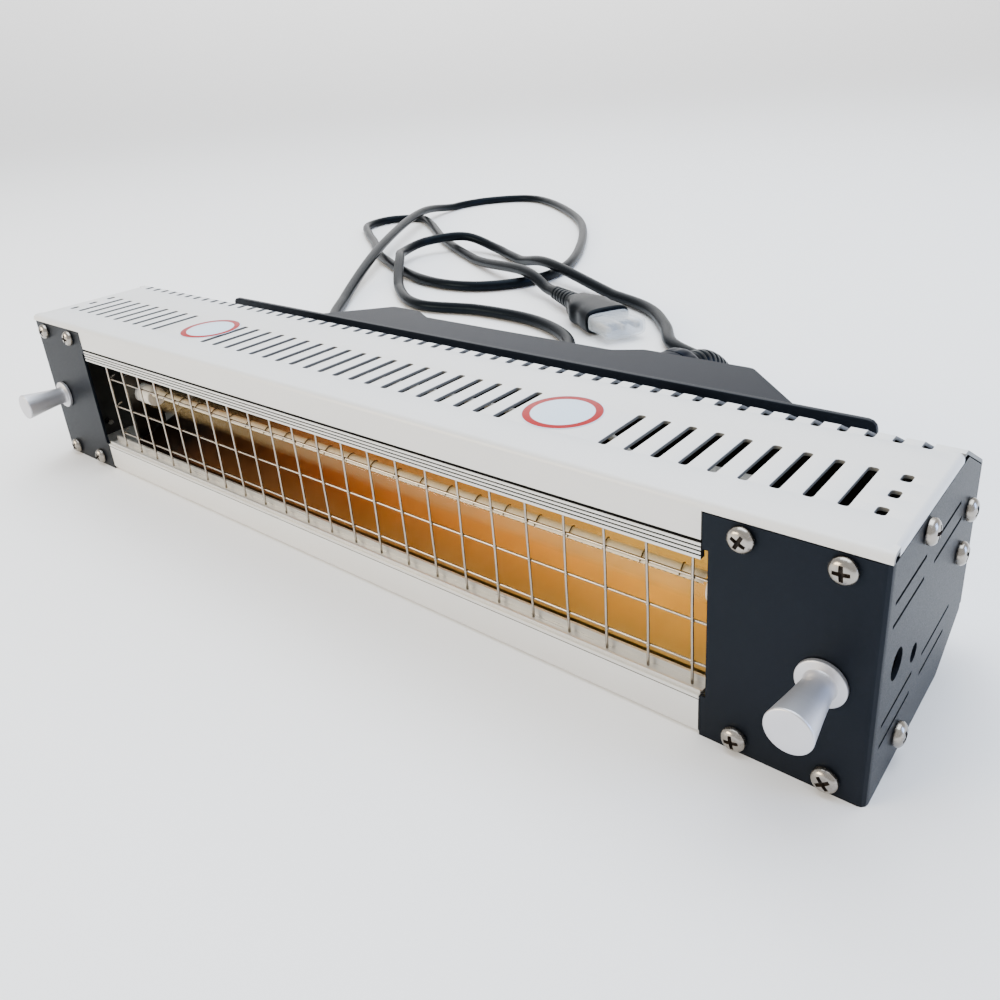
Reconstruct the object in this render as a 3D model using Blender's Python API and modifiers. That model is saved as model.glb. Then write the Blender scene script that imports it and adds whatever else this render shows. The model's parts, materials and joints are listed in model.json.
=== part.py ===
"""Hand-held infrared heat lamp: a long folded-steel housing with a wire-guarded quartz lamp in a gold trough.

Every named object is one physical piece. Lengths below are millimetres in the lamp's own layout: X runs along
the housing, Y goes back from its front face and Z rises from its flat underside. The parent empty turns that
layout into the part's frame, in metres, with the origin under the middle of the whole object.
"""

import math

import bmesh
import bpy
from mathutils import Matrix, Vector

MM = 0.001
GAP = 0.3  # between pieces that touch
MERGE = 1e-6  # metres

# Housing
BODY_LENGTH = 377.8
BODY_HEIGHT = 67.4
BODY_DEPTH = 75.5
CHAMFER_RUN = 20.0
CHAMFER_RISE = 11.0
COVER_SHEET = 1.0
COVER_BEND = 2.0
FLANGE_DROP = 10.0  # front flange of the top cover, between the end caps
LIP_DROP = 2.4  # what is left of that flange above each end cap
LIP_RISE = 11.0  # front lip of the bottom cover
SEAM_HEIGHT = 12.0  # lower edge of the back wall
SEAM_LAP = 10.0  # how far the bottom cover reaches up behind the back wall

# Vent slots in the top cover
SLOT_WIDTH = 2.6
SLOT_LENGTH = 21.4
SLOT_FRONT = 14.2
SLOT_PITCH = 7.85
SLOTS_MIDDLE = 20
SLOTS_SIDE = 10
SLOTS_SIDE_START = 110.6
SLOT_BRIDGE = 5.1  # closed bridges that split the last slot of each group
EDGE_SLOT_PITCH = 6.94
EDGE_SLOTS = 53
EDGE_SLOT_START = 51.5
EDGE_SLOT_LENGTH = 20.0

# End caps and the frames behind them
CAP_WIDTH = 41.6
CAP_INNER = BODY_LENGTH / 2 - CAP_WIDTH  # window edge of each end cap
CAP_SHEET = 1.2
CAP_BEND = 2.0
CAP_NOTCH = 1.5
CAP_NOTCH_LOW = 12.5
CAP_NOTCH_HIGH = BODY_HEIGHT - 12.4
FRAME_SHEET = 1.2
FRAME_WIDTH = CAP_WIDTH - 6.6
SLIT_WIDTH = 1.0
SLIT_ROWS = (13.3, 19.3)  # heights above and below the middle
SLITS_FRONT = (5.0, 27.0)
SLITS_BACK = (35.0, 59.0)
CAP_HOLE_LARGE = (12.0, BODY_HEIGHT / 2 - 0.7, 4.0)  # depth, height, radius
CAP_HOLE_SMALL = (26.4, BODY_HEIGHT / 2 - 7.1, 2.5)

# Screws in the end caps
SCREW_HEAD_RADIUS = 3.25
SCREW_HEAD_HEIGHT = 2.2
SCREW_SHANK_RADIUS = 1.4
SCREW_LENGTH = 6.0
SCREW_HOLE_RADIUS = SCREW_SHANK_RADIUS + GAP
RECESS_SPAN = 3.5
RECESS_WIDTH = 0.85
RECESS_DEPTH = 1.3
FRONT_SCREWS = tuple((x, z) for x in (-9.7, 9.3 - CAP_WIDTH) for z in (4.3, BODY_HEIGHT - 6.4))  # from the cap's inner edge, and height
SIDE_SCREWS = ((25.0, BODY_HEIGHT - 6.9), (65.5, BODY_HEIGHT - 20.9), (61.5, BODY_HEIGHT - 31.9), (19.0, 8.0))

# Stand-off knobs
KNOB_X = BODY_LENGTH / 2 - 11.9
KNOB_HEIGHT = 31.0
KNOB_LENGTH = 19.0
KNOB_FLANGE_RADIUS = 6.0
KNOB_FLANGE = 1.6
KNOB_NECK_RADIUS = 3.7
KNOB_TIP_RADIUS = 5.6
KNOB_SCREW_RADIUS = 2.0
KNOB_BORE_DEPTH = 13.0

# Window trims and wire guard
TRIM_HEIGHT = 5.1
TRIM_DEPTH = 2.0
TRIM_GROOVE = 0.5
TRIM_TAB = 5.0
SILL_DEPTH = 5.2
SILL_HEIGHT = 3.4
GUARD_PITCH = 12.7
GUARD_BARS = 1 + int((2 * CAP_INNER - 15) / GUARD_PITCH)
GUARD_SHIFT = 4.0  # the row of bars stands this far towards the right
GUARD_END = CAP_INNER + 2.3  # right ends of the long wires, behind the cap
GUARD_RAILS = (19.1, 31.75, 44.4)
WIRE_RADIUS = 0.5
GUARD_Y = TRIM_DEPTH + GAP + WIRE_RADIUS
GUARD_TOP = BODY_HEIGHT - 9.4

# Reflector and lamp
REFLECTOR_LEFT = 14.3 - CAP_INNER
REFLECTOR_RIGHT = CAP_INNER + 2.1
REFLECTOR_MOUTH = 7.0
REFLECTOR_BACK = 46.0
REFLECTOR_APERTURE = 19.5
REFLECTOR_SHEET = 0.6
TUBE_Y = 16.0
TUBE_Z = 34.0
TUBE_RADIUS = 5.0
TUBE_WALL = 1.2
TUBE_LEFT = 23.3 - CAP_INNER
TUBE_RIGHT = CAP_INNER - 5.3
FILAMENT_RADIUS = 0.9
CERAMIC_RADIUS = 4.2
CERAMIC_LENGTH = 15.0
HOLDER_SHEET = 1.2
HOLDER_WIDTH = 14.0
HOLDER_HEIGHT = 44.0
HOLDER_FOOT = 9.0
LEAD_RADIUS = 1.3
BLOCK = (22.0, 14.0, 14.0)
BLOCK_CENTRE = (122.0, 59.0, 34.0)

# Handle plate, its spacers and the bridge handle
PLATE_LENGTH = 318.0
PLATE_HEIGHT = 46.6
PLATE_SHEET = 2.0
PLATE_CORNER = 3.0
SPACER_DEPTH = 8.9
SPACER_X = 96.0
SPACER_WIDTH = 12.0
SPACER_HEIGHT = 40.0
BOLT_RADIUS = 2.4
BOLT_HEAD_RADIUS = 4.5
BOLT_HEAD_HEIGHT = 3.2
HANDLE_WIDTH = 24.6
HANDLE_REACH = 137.0  # rear of the handle, from the front face
HANDLE_FOOT_OUTER = 148.0
HANDLE_FOOT_INNER = 112.0
HANDLE_END = 97.5
GRIP_HALF = 84.0
GRIP_INNER = 110.5
GRIP_REAR = 130.5
GRIP_DIP = (-68.0, 38.0)
HANDLE_WALL = 2.6
HANDLE_EDGE = 3.5
HANDLE_BOLT_X = 138.0
FLEX_RADIUS = 3.7
FLEX_X = 122.0

# Rocker switch in the handle
SWITCH_X = 85.5
SWITCH_BEZEL = (21.0, 15.0, 1.5)  # along X, along Z, thickness
SWITCH_BODY = (18.0, 12.4, 13.0)
ROCKER = (15.2, 10.4)
ROCKER_PIVOT = 1.0  # behind the bezel's face
ROCKER_DEPTH = 3.0
ROCKER_CREST = 2.6
ROCKER_TILT = 10.0  # degrees, either side of level

# Mains cord
CORD_RADIUS = 3.8
CORD_STEP = 33.0
CORD_STRAIGHT = 5.0  # at each end
GLAND_X = 60.0
GLAND_RADIUS = 11.5
GLAND_LENGTH = 17.0
RELIEF_RADIUS = 6.2
RELIEF_POINTS = ((0.0, 0.0), (5.0, 0.0), (15.0, -2.0), (24.5, -6.6), (32.5, -12.4))  # back and down from the gland
PLUG_TIP = (-34.0, 256.0)
PLUG_DIRECTION = (0.87, -0.49)
PLUG_BODY = (42.0, 29.0, 16.0)  # length, width, height
PLUG_RELIEF = 34.0
PLUG_RELIEF_RADIUS = 6.4
PLUG_PIN_RADIUS = 2.0
PLUG_PIN_LENGTH = 19.0
PLUG_PIN_PITCH = 9.5
PLUG_COVER = (22.0, 27.0, 11.0)
PLUG_COVER_WALL = 1.2

# The cord's route from the strain relief to the plug, at floor level but where it passes over itself
ROUTE = (
    (58.0, 204.0, 9.2),
    (47.0, 225.0, 4.6),
    (23.0, 240.0, 4.1),
    (-4.0, 256.0, 4.1),
    (-24.0, 283.0, 4.1),
    (-50.0, 309.0, 4.1),
    (-88.0, 327.0, 4.1),
    (-163.0, 355.0, 13.0),
    (-215.0, 385.0, 4.1),
    (-256.0, 405.0, 6.0),
    (-292.0, 406.0, 13.4),
    (-317.0, 383.0, 12.0),
    (-313.0, 350.0, 10.0),
    (-287.0, 321.0, 13.4),
    (-245.0, 278.0, 4.1),
    (-200.0, 252.0, 4.1),
    (-150.0, 260.0, 4.1),
    (-100.0, 256.0, 4.1),
    (-60.0, 234.0, 4.1),
    (-44.0, 199.0, 4.1),
    (-64.0, 168.0, 4.1),
    (-104.0, 162.0, 4.1),
    (-150.0, 170.0, 4.1),
    (-212.0, 188.0, 4.1),
    (-258.0, 234.0, 4.1),
    (-338.0, 348.0, 13.2),
    (-421.0, 482.0, 13.4),
    (-446.0, 560.0, 4.1),
    (-424.0, 612.0, 4.1),
    (-370.0, 622.0, 4.1),
    (-262.0, 537.0, 4.1),
    (-184.0, 421.0, 4.1),
    (-163.0, 350.0, 4.1),
    (-192.0, 307.0, 4.1),
    (-250.0, 306.0, 4.1),
    (-338.0, 348.0, 4.1),
    (-393.0, 390.0, 4.1),
    (-430.0, 417.0, 4.1),
    (-461.0, 445.0, 4.1),
    (-463.0, 478.0, 4.1),
    (-434.0, 494.0, 4.1),
    (-398.0, 473.0, 4.1),
    (-330.0, 420.0, 4.1),
    (-250.0, 371.0, 4.1),
    (-167.0, 329.0, 13.2),
)

CAP_TOP = BODY_HEIGHT - LIP_DROP - GAP
MIDDLE = BODY_HEIGHT / 2
PLATE_Y = BODY_DEPTH + SPACER_DEPTH + 2 * GAP
HANDLE_FOOT = PLATE_Y + PLATE_SHEET + GAP
REAR = HANDLE_REACH + GAP + GLAND_LENGTH
CENTRE_Y = (REAR - KNOB_LENGTH) / 2  # the origin's place, back from the front face


# Blender helpers


def clear_scene():
    for obj in list(bpy.data.objects):
        bpy.data.objects.remove(obj)


def new_collection(name):
    collection = bpy.data.collections.new(name)
    bpy.context.scene.collection.children.link(collection)
    return collection


def new_material(name, colour, roughness, metallic=0.0, alpha=1.0):
    material = bpy.data.materials.new(name)
    material.use_nodes = True
    shader = material.node_tree.nodes["Principled BSDF"]
    shader.inputs["Base Color"].default_value = (*colour, 1.0)
    shader.inputs["Roughness"].default_value = roughness
    shader.inputs["Metallic"].default_value = metallic
    shader.inputs["Alpha"].default_value = alpha
    return material


clear_scene()
LAMP = new_collection("heat_lamp")
CUTTERS = new_collection("cutters")
CUTTERS.hide_render = True
FRAME = bpy.data.objects.new("lamp_frame", None)
LAMP.objects.link(FRAME)
FRAME.location = (0, -CENTRE_Y * MM, 0)

COVER_GREY = new_material("cover_grey", (0.74, 0.75, 0.76), 0.38, 0.1)
CAP_BLACK = new_material("cap_black", (0.025, 0.028, 0.034), 0.5)
BRIGHT_STEEL = new_material("bright_steel", (0.62, 0.62, 0.6), 0.35, 1.0)
TRIM_ALUMINIUM = new_material("trim_aluminium", (0.82, 0.82, 0.8), 0.32, 0.9)
SCREW_NICKEL = new_material("screw_nickel", (0.6, 0.58, 0.54), 0.25, 1.0)
KNOB_ALUMINIUM = new_material("knob_aluminium", (0.78, 0.78, 0.8), 0.42, 0.9)
GUARD_WIRE = new_material("guard_wire", (0.6, 0.58, 0.56), 0.28, 1.0)
GOLD = new_material("reflector_gold", (0.78, 0.5, 0.2), 0.22, 1.0)
QUARTZ = new_material("quartz", (0.95, 0.9, 0.8), 0.08, 0.0, 0.5)
TUNGSTEN = new_material("tungsten", (0.3, 0.28, 0.26), 0.4, 1.0)
CERAMIC = new_material("ceramic", (0.88, 0.86, 0.82), 0.6)
SLEEVE_WHITE = new_material("sleeve_white", (0.85, 0.84, 0.8), 0.7)
PLASTIC_BLACK = new_material("plastic_black", (0.02, 0.022, 0.026), 0.42)
CORD_BLACK = new_material("cord_black", (0.018, 0.02, 0.024), 0.45)
CLEAR = new_material("clear_plastic", (0.9, 0.93, 0.95), 0.06, 0.0, 0.35)


def link(obj, material=None):
    """Put an object in the lamp's layout: a piece if it has a material, else a cutter."""
    (LAMP if material else CUTTERS).objects.link(obj)
    obj.parent = FRAME
    if material:
        obj.data.materials.append(material)
    else:
        obj.hide_render = True
        obj.display_type = "WIRE"
    return obj


def from_form(name, form, material=None):
    mesh = bpy.data.meshes.new(name)
    form.to_mesh(mesh)
    form.free()
    return link(bpy.data.objects.new(name, mesh), material)


def plain_mesh(obj):
    """The closed mesh that an object's curve or modifiers make, its loose caps welded."""
    bpy.context.view_layer.update()
    graph = bpy.context.evaluated_depsgraph_get()
    mesh = bpy.data.meshes.new_from_object(obj.evaluated_get(graph))
    form = bmesh.new()
    form.from_mesh(mesh)
    bmesh.ops.remove_doubles(form, verts=form.verts, dist=MERGE)
    form.to_mesh(mesh)
    form.free()
    return mesh


def to_mesh_object(curve, material=None):
    """Swap a curve object for a mesh object of the same name and place."""
    name = curve.name
    rotation = curve.rotation_euler.copy()
    location = curve.location.copy()
    mesh = plain_mesh(curve)
    bpy.data.objects.remove(curve)
    obj = link(bpy.data.objects.new(name, mesh), None if material is None else material)
    obj.rotation_euler = rotation
    obj.location = location
    return obj


def flat_piece(name, outline, start, end, axis, material=None, holes=()):
    """A flat outline, as (u, v) pairs, given a thickness from start to end along X, Y or Z.

    Along X the pairs are (Y, Z), along Y they are (X, Z) and along Z they are (X, Y).
    """
    data = bpy.data.curves.new(name, "CURVE")
    data.dimensions = "2D"
    data.fill_mode = "BOTH"
    data.extrude = (end - start) / 2 * MM
    for ring in (outline, *holes):
        spline = data.splines.new("POLY")
        spline.points.add(len(ring) - 1)
        for point, (u, v) in zip(spline.points, ring):
            point.co = (u * MM, v * MM, 0, 1)
        spline.use_cyclic_u = True
    curve = link(bpy.data.objects.new(name, data))
    middle = (start + end) / 2 * MM
    turns = {"X": (math.pi / 2, 0, math.pi / 2), "Y": (math.pi / 2, 0, 0), "Z": (0, 0, 0)}
    places = {"X": (middle, 0, 0), "Y": (0, middle, 0), "Z": (0, 0, middle)}
    curve.rotation_euler = turns[axis]
    curve.location = places[axis]
    return to_mesh_object(curve, material)


def add_box(form, low, high):
    size = [(b - a) * MM for a, b in zip(low, high)]
    centre = [(a + b) / 2 * MM for a, b in zip(low, high)]
    matrix = Matrix.Translation(centre) @ Matrix.Diagonal((*size, 1))
    bmesh.ops.create_cube(form, size=1, matrix=matrix)


def add_rod(form, start, end, radius, sides=10):
    """A cylinder between two points."""
    start = Vector(start) * MM
    end = Vector(end) * MM
    along = end - start
    turn = along.to_track_quat("Z", "Y").to_matrix().to_4x4()
    matrix = Matrix.Translation((start + end) / 2) @ turn
    bmesh.ops.create_cone(
        form,
        cap_ends=True,
        segments=sides,
        radius1=radius * MM,
        radius2=radius * MM,
        depth=along.length,
        matrix=matrix,
    )


def box(name, low, high, material=None):
    form = bmesh.new()
    add_box(form, low, high)
    return from_form(name, form, material)


def cutter(name, boxes=(), rods=()):
    """One cutter made of separate boxes, as (low, high), and rods, as (start, end, radius)."""
    form = bmesh.new()
    for low, high in boxes:
        add_box(form, low, high)
    for rod in rods:
        add_rod(form, *rod)
    return from_form(name, form)


def boolean(obj, other, operation="DIFFERENCE"):
    modifier = obj.modifiers.new(other.name, "BOOLEAN")
    modifier.operation = operation
    modifier.object = other
    modifier.solver = "EXACT"


def turned_mesh(name, profile, sides):
    """A solid turned about Z from (radius, height) pairs that run from the top to the bottom."""
    form = bmesh.new()
    points = [form.verts.new((radius * MM, 0, height * MM)) for radius, height in profile]
    for first, second in zip(points, points[1:]):
        form.edges.new((first, second))
    mesh = bpy.data.meshes.new(name)
    form.to_mesh(mesh)
    form.free()
    obj = link(bpy.data.objects.new(name, mesh))
    screw = obj.modifiers.new("turn", "SCREW")
    screw.steps = sides
    screw.render_steps = sides
    screw.use_merge_vertices = True
    screw.merge_threshold = 1e-5
    solid = plain_mesh(obj)
    bpy.data.objects.remove(obj)
    return solid


def turned(name, profile, sides, material=None):
    return link(bpy.data.objects.new(name, turned_mesh(name, profile, sides)), material)


def place(obj, location, rotation=(0, 0, 0)):
    obj.location = [value * MM for value in location]
    obj.rotation_euler = [math.radians(angle) for angle in rotation]
    return obj


def round_off(obj, angle=35):
    obj.data.shade_smooth()
    obj.data.set_sharp_from_angle(angle=math.radians(angle))
    return obj


def tube(name, points, radius, material, resolution=2, radii=None):
    """A round wire or cord along a list of points, in millimetres."""
    data = bpy.data.curves.new(name, "CURVE")
    data.dimensions = "3D"
    data.bevel_depth = radius * MM
    data.bevel_resolution = resolution
    data.use_fill_caps = True
    spline = data.splines.new("POLY")
    spline.points.add(len(points) - 1)
    for index, (point, place_mm) in enumerate(zip(spline.points, points)):
        point.co = (*(value * MM for value in place_mm), 1)
        point.radius = radii[index] if radii else 1.0
    curve = link(bpy.data.objects.new(name, data))
    return round_off(to_mesh_object(curve, material), 60)


# Outlines


def rounded(corners, radius, steps=3, closed=False):
    """A path with an arc of this radius at each inner corner, or at every corner of a closed one."""
    count = len(corners)
    path = []
    for index, corner in enumerate(corners):
        if not closed and index in (0, count - 1):
            path.append(corner)
            continue
        here = Vector(corner)
        before = (Vector(corners[index - 1]) - here).normalized()
        after = (Vector(corners[(index + 1) % count]) - here).normalized()
        half = before.angle(after) / 2
        bisector = (before + after).normalized()
        centre = here + bisector * (radius / math.sin(half))
        start = here + before * (radius / math.tan(half)) - centre
        end = here + after * (radius / math.tan(half)) - centre
        sweep = start.angle_signed(end)
        for step in range(steps + 1):
            arm = start.copy()
            arm.rotate(Matrix.Rotation(-sweep * step / steps, 2))
            path.append(tuple(centre + arm))
    return path


def offset(path, distance, closed=False):
    """The path moved to its right-hand side by a distance, its corners mitred."""
    count = len(path)
    moved = []
    for index, point in enumerate(path):
        here = Vector(point)
        directions = []
        if closed or index:
            directions.append((here - Vector(path[index - 1])).normalized())
        if closed or index < count - 1:
            directions.append((Vector(path[(index + 1) % count]) - here).normalized())
        normals = [Vector((direction.y, -direction.x)) for direction in directions]
        normal = sum(normals, Vector((0, 0))).normalized()
        moved.append(tuple(here + normal * (distance / normal.dot(normals[0]))))
    return moved


def sheet(path, thickness):
    """The closed outline of a bent sheet whose outer face follows the path, the sheet on its right."""
    return path + offset(path, thickness)[::-1]


def chamfer_height(y, inset):
    """Height of the upper chamfer at this depth, moved into the housing by the inset."""
    slope = CHAMFER_RISE / CHAMFER_RUN
    return BODY_HEIGHT - slope * (y - BODY_DEPTH + CHAMFER_RUN) - inset * math.hypot(1, slope)


def chamfer_depth(z, inset):
    """Depth at which the upper chamfer, moved in by the inset, comes to this height."""
    slope = CHAMFER_RISE / CHAMFER_RUN
    rise = BODY_HEIGHT - inset * math.hypot(1, slope) - z
    return BODY_DEPTH - CHAMFER_RUN + rise / slope


def end_outline(inset, back, bottom, top):
    """The housing's end profile inside the covers: six corners as (Y, Z)."""
    upper = chamfer_height(back, inset)
    return (
        (-CAP_BEND, bottom),
        (-CAP_BEND, top),
        (chamfer_depth(top, inset), top),
        (back, upper),
        (back, BODY_HEIGHT - upper),
        (chamfer_depth(BODY_HEIGHT - bottom, inset), bottom),
    )


# Covers


def top_cover():
    corners = (
        (0, BODY_HEIGHT - FLANGE_DROP),
        (0, BODY_HEIGHT),
        (BODY_DEPTH - CHAMFER_RUN, BODY_HEIGHT),
        (BODY_DEPTH, BODY_HEIGHT - CHAMFER_RISE),
        (BODY_DEPTH, SEAM_HEIGHT),
    )
    half = BODY_LENGTH / 2
    outline = sheet(rounded(corners, COVER_BEND, 2), COVER_SHEET)
    cover = flat_piece("top_cover", outline, -half, half, "X", COVER_GREY)
    lips = bmesh.new()
    for side in (-1, 1):
        ends = sorted((side * half, side * (half - COVER_SHEET)))
        low = (ends[0], 2 * COVER_BEND, CAP_TOP + GAP)
        high = (ends[1], BODY_DEPTH - CHAMFER_RUN - COVER_BEND, BODY_HEIGHT - COVER_SHEET / 2)
        add_box(lips, low, high)
    boolean(cover, from_form("side_lips", lips), "UNION")
    boolean(cover, cutter("top_cover_cuts", top_cover_cuts(half), back_wall_drills()))


def top_cover_cuts(half):
    """The flange's relief above each end cap, and every vent slot."""
    cuts = []
    for side in (-1, 1):
        ends = sorted((side * (CAP_INNER - GAP), side * (half + 1)))
        cuts.append(((ends[0], -1, 0), (ends[1], 2 * COVER_SHEET, CAP_TOP + GAP)))
    top = BODY_HEIGHT + 1
    under = BODY_HEIGHT - 2 * COVER_SHEET
    back = SLOT_FRONT + SLOT_LENGTH
    places = [(index - (SLOTS_MIDDLE - 1) / 2) * SLOT_PITCH for index in range(SLOTS_MIDDLE)]
    for side in (-1, 1):
        places += [side * (SLOTS_SIDE_START + index * SLOT_PITCH) for index in range(SLOTS_SIDE - 1)]
    for x in places:
        low = (x - SLOT_WIDTH / 2, SLOT_FRONT, under)
        cuts.append((low, (x + SLOT_WIDTH / 2, back, top)))
    piece = (SLOT_LENGTH - 2 * SLOT_BRIDGE) / 3
    for side in (-1, 1):
        x = side * (SLOTS_SIDE_START + (SLOTS_SIDE - 1) * SLOT_PITCH)
        for index in range(3):
            start = SLOT_FRONT + index * (piece + SLOT_BRIDGE)
            cuts.append(((x - SLOT_WIDTH / 2, start, under), (x + SLOT_WIDTH / 2, start + piece, top)))
    edge_end = EDGE_SLOT_START + EDGE_SLOT_LENGTH
    edge_low = chamfer_height(edge_end, 3 * COVER_SHEET)
    for index in range(EDGE_SLOTS):
        x = (index - (EDGE_SLOTS - 1) / 2) * EDGE_SLOT_PITCH
        low = (x - SLOT_WIDTH / 2, EDGE_SLOT_START, edge_low)
        cuts.append((low, (x + SLOT_WIDTH / 2, edge_end, top)))
    return cuts


def back_wall_drills():
    near = BODY_DEPTH - 2 * COVER_SHEET
    far = BODY_DEPTH + 1
    drills = [
        ((side * SPACER_X, near, MIDDLE), (side * SPACER_X, far, MIDDLE), BOLT_RADIUS + GAP)
        for side in (-1, 1)
    ]
    drills.append(((FLEX_X, near, MIDDLE), (FLEX_X, far, MIDDLE), FLEX_RADIUS + GAP))
    return drills


def bottom_cover():
    seam = BODY_DEPTH - COVER_SHEET - GAP
    corners = (
        (seam, SEAM_HEIGHT + SEAM_LAP),
        (seam, BODY_HEIGHT - chamfer_height(seam, 0)),
        (BODY_DEPTH - CHAMFER_RUN, 0),
        (0, 0),
        (0, LIP_RISE),
    )
    half = BODY_LENGTH / 2 - CAP_SHEET - GAP
    outline = sheet(rounded(corners, COVER_BEND, 2), COVER_SHEET)
    cover = flat_piece("bottom_cover", outline, -half, half, "X", COVER_GREY)
    cuts = []
    for side in (-1, 1):
        ends = sorted((side * (CAP_INNER - GAP), side * (half + 1)))
        cuts.append(((ends[0], -1, -1), (ends[1], CAP_SHEET + GAP, LIP_RISE + 1)))
    boolean(cover, cutter("bottom_cover_cuts", cuts))


# End caps, frames and their screws


def end_cap(side):
    """A folded black cap: its front covers the housing's corner and its side closes the end."""
    name = "end_cap_right" if side > 0 else "end_cap_left"
    half = BODY_LENGTH / 2
    back = BODY_DEPTH - COVER_SHEET - GAP
    path = rounded(((CAP_INNER, 0), (half, 0), (half, back)), CAP_BEND)
    outline = [(side * x, y) for x, y in path + offset(path, -CAP_SHEET)[::-1]]
    cap = flat_piece(name, outline, 0, CAP_TOP, "Z", CAP_BLACK)
    profile = end_outline(COVER_SHEET + GAP, back + 1, -1, CAP_TOP + 1)
    ends = sorted((side * (CAP_INNER - 1), side * (half + 1)))
    boolean(cap, flat_piece(name + "_profile", lower_corner(profile), *ends, "X"), "INTERSECT")
    boolean(cap, cutter(name + "_cuts", cap_cuts(side), cap_drills(side, 0, half)))


def lower_corner(profile):
    """The cap's side reaches out to the lower chamfer itself, where no cover laps it."""
    *upper, _, _ = profile
    back = upper[-1][0]
    foot = (BODY_DEPTH - CHAMFER_RUN - CHAMFER_RUN / CHAMFER_RISE, -1)
    return (*upper, (back, BODY_HEIGHT - chamfer_height(back, 0)), foot)


def cap_cuts(side):
    """The notch along the window and the vent slits in the side."""
    half = BODY_LENGTH / 2
    notch = sorted((side * (CAP_INNER - 1), side * (CAP_INNER + CAP_NOTCH)))
    cuts = [((notch[0], -1, CAP_NOTCH_LOW), (notch[1], 2 * CAP_SHEET, CAP_NOTCH_HIGH))]
    ends = sorted((side * (half - 2 * CAP_SHEET), side * (half + 1)))
    for row in SLIT_ROWS:
        for sign in (-1, 1):
            z = MIDDLE + sign * row
            shift = 3.0 * (row - SLIT_ROWS[0]) / (SLIT_ROWS[1] - SLIT_ROWS[0])
            for start, end in (SLITS_FRONT, (SLITS_BACK[0], SLITS_BACK[1] - shift)):
                low = (ends[0], start, z - SLIT_WIDTH / 2)
                cuts.append((low, (ends[1], end, z + SLIT_WIDTH / 2)))
    return cuts


def cap_drills(side, front, end, round_holes=True):
    """Screw and knob holes through a front sheet at this depth and a side sheet at this end."""
    drills = []
    for x, z in FRONT_SCREWS:
        x = side * (CAP_INNER - x)
        drills.append(((x, front - 1, z), (x, front + 2 * CAP_SHEET, z), SCREW_HOLE_RADIUS))
    knob = side * KNOB_X
    rod = ((knob, front - 1, KNOB_HEIGHT), (knob, front + 2 * CAP_SHEET, KNOB_HEIGHT))
    drills.append((*rod, KNOB_SCREW_RADIUS + GAP))
    ends = (side * (end - 2 * CAP_SHEET), side * (end + 1))
    for y, z in SIDE_SCREWS:
        drills.append(((ends[0], y, z), (ends[1], y, z), SCREW_HOLE_RADIUS))
    if round_holes:
        for y, z, radius in (CAP_HOLE_LARGE, CAP_HOLE_SMALL):
            drills.append(((ends[0], y, z), (ends[1], y, z), radius, 16))
    return drills


def end_frame(side):
    """The bright frame inside each end, which the covers and the cap are screwed to."""
    name = "end_frame_right" if side > 0 else "end_frame_left"
    half = BODY_LENGTH / 2 - CAP_SHEET - GAP
    front = CAP_SHEET + GAP
    back = BODY_DEPTH - 2 * (COVER_SHEET + GAP)
    path = rounded(((half - FRAME_WIDTH, front), (half, front), (half, back)), CAP_BEND, 2)
    outline = [(side * x, y) for x, y in path + offset(path, -FRAME_SHEET)[::-1]]
    low = COVER_SHEET + GAP
    high = BODY_HEIGHT - COVER_SHEET - GAP
    frame = flat_piece(name, outline, low, high, "Z", BRIGHT_STEEL)
    profile = end_outline(COVER_SHEET + GAP, back + 1, low - 1, high + 1)
    ends = sorted((side * (half - FRAME_WIDTH - 1), side * (half + 1)))
    boolean(frame, flat_piece(name + "_profile", profile, *ends, "X"), "INTERSECT")
    boolean(frame, cutter(name + "_cuts", (), cap_drills(side, front, half, False)))


def screw_mesh(name, head_radius, head_height, shank_radius, length, sides):
    """A pan-head screw with a cross recess, its head's underside at height zero."""
    profile = (
        (0, head_height),
        (0.5 * head_radius, 0.93 * head_height),
        (0.9 * head_radius, 0.6 * head_height),
        (head_radius, 0),
        (shank_radius, 0),
        (shank_radius, -length),
        (0, -length),
    )
    screw = turned(name, profile, sides)
    recess = bmesh.new()
    reach = RECESS_SPAN / 2
    thick = RECESS_WIDTH / 2
    low = head_height - RECESS_DEPTH
    add_box(recess, (-reach, -thick, low), (reach, thick, head_height + 1))
    across = from_form(name + "_recess_across", recess)
    along = box(name + "_recess_along", (-thick, -reach, low), (thick, reach, head_height + 1))
    boolean(screw, across)
    boolean(screw, along)
    mesh = plain_mesh(screw)
    for helper in (screw, across, along):
        bpy.data.objects.remove(helper)
    return mesh


def cap_screws():
    mesh = screw_mesh("cap_screw", SCREW_HEAD_RADIUS, SCREW_HEAD_HEIGHT, SCREW_SHANK_RADIUS, SCREW_LENGTH, 10)
    mesh.materials.append(SCREW_NICKEL)
    for side, label in ((-1, "left"), (1, "right")):
        for index, (x, z) in enumerate(FRONT_SCREWS, 1):
            screw = piece(f"front_screw_{label}_{index}", mesh)
            place(screw, (side * (CAP_INNER - x), -GAP, z), (90, 0, 0))
        for index, (y, z) in enumerate(SIDE_SCREWS, 1):
            screw = piece(f"side_screw_{label}_{index}", mesh)
            place(screw, (side * (BODY_LENGTH / 2 + GAP), y, z), (0, side * 90, 0))


def piece(name, mesh):
    """A further object that shares a mesh which already carries its material."""
    obj = bpy.data.objects.new(name, mesh)
    LAMP.objects.link(obj)
    obj.parent = FRAME
    return obj


# Stand-off knobs


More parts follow.
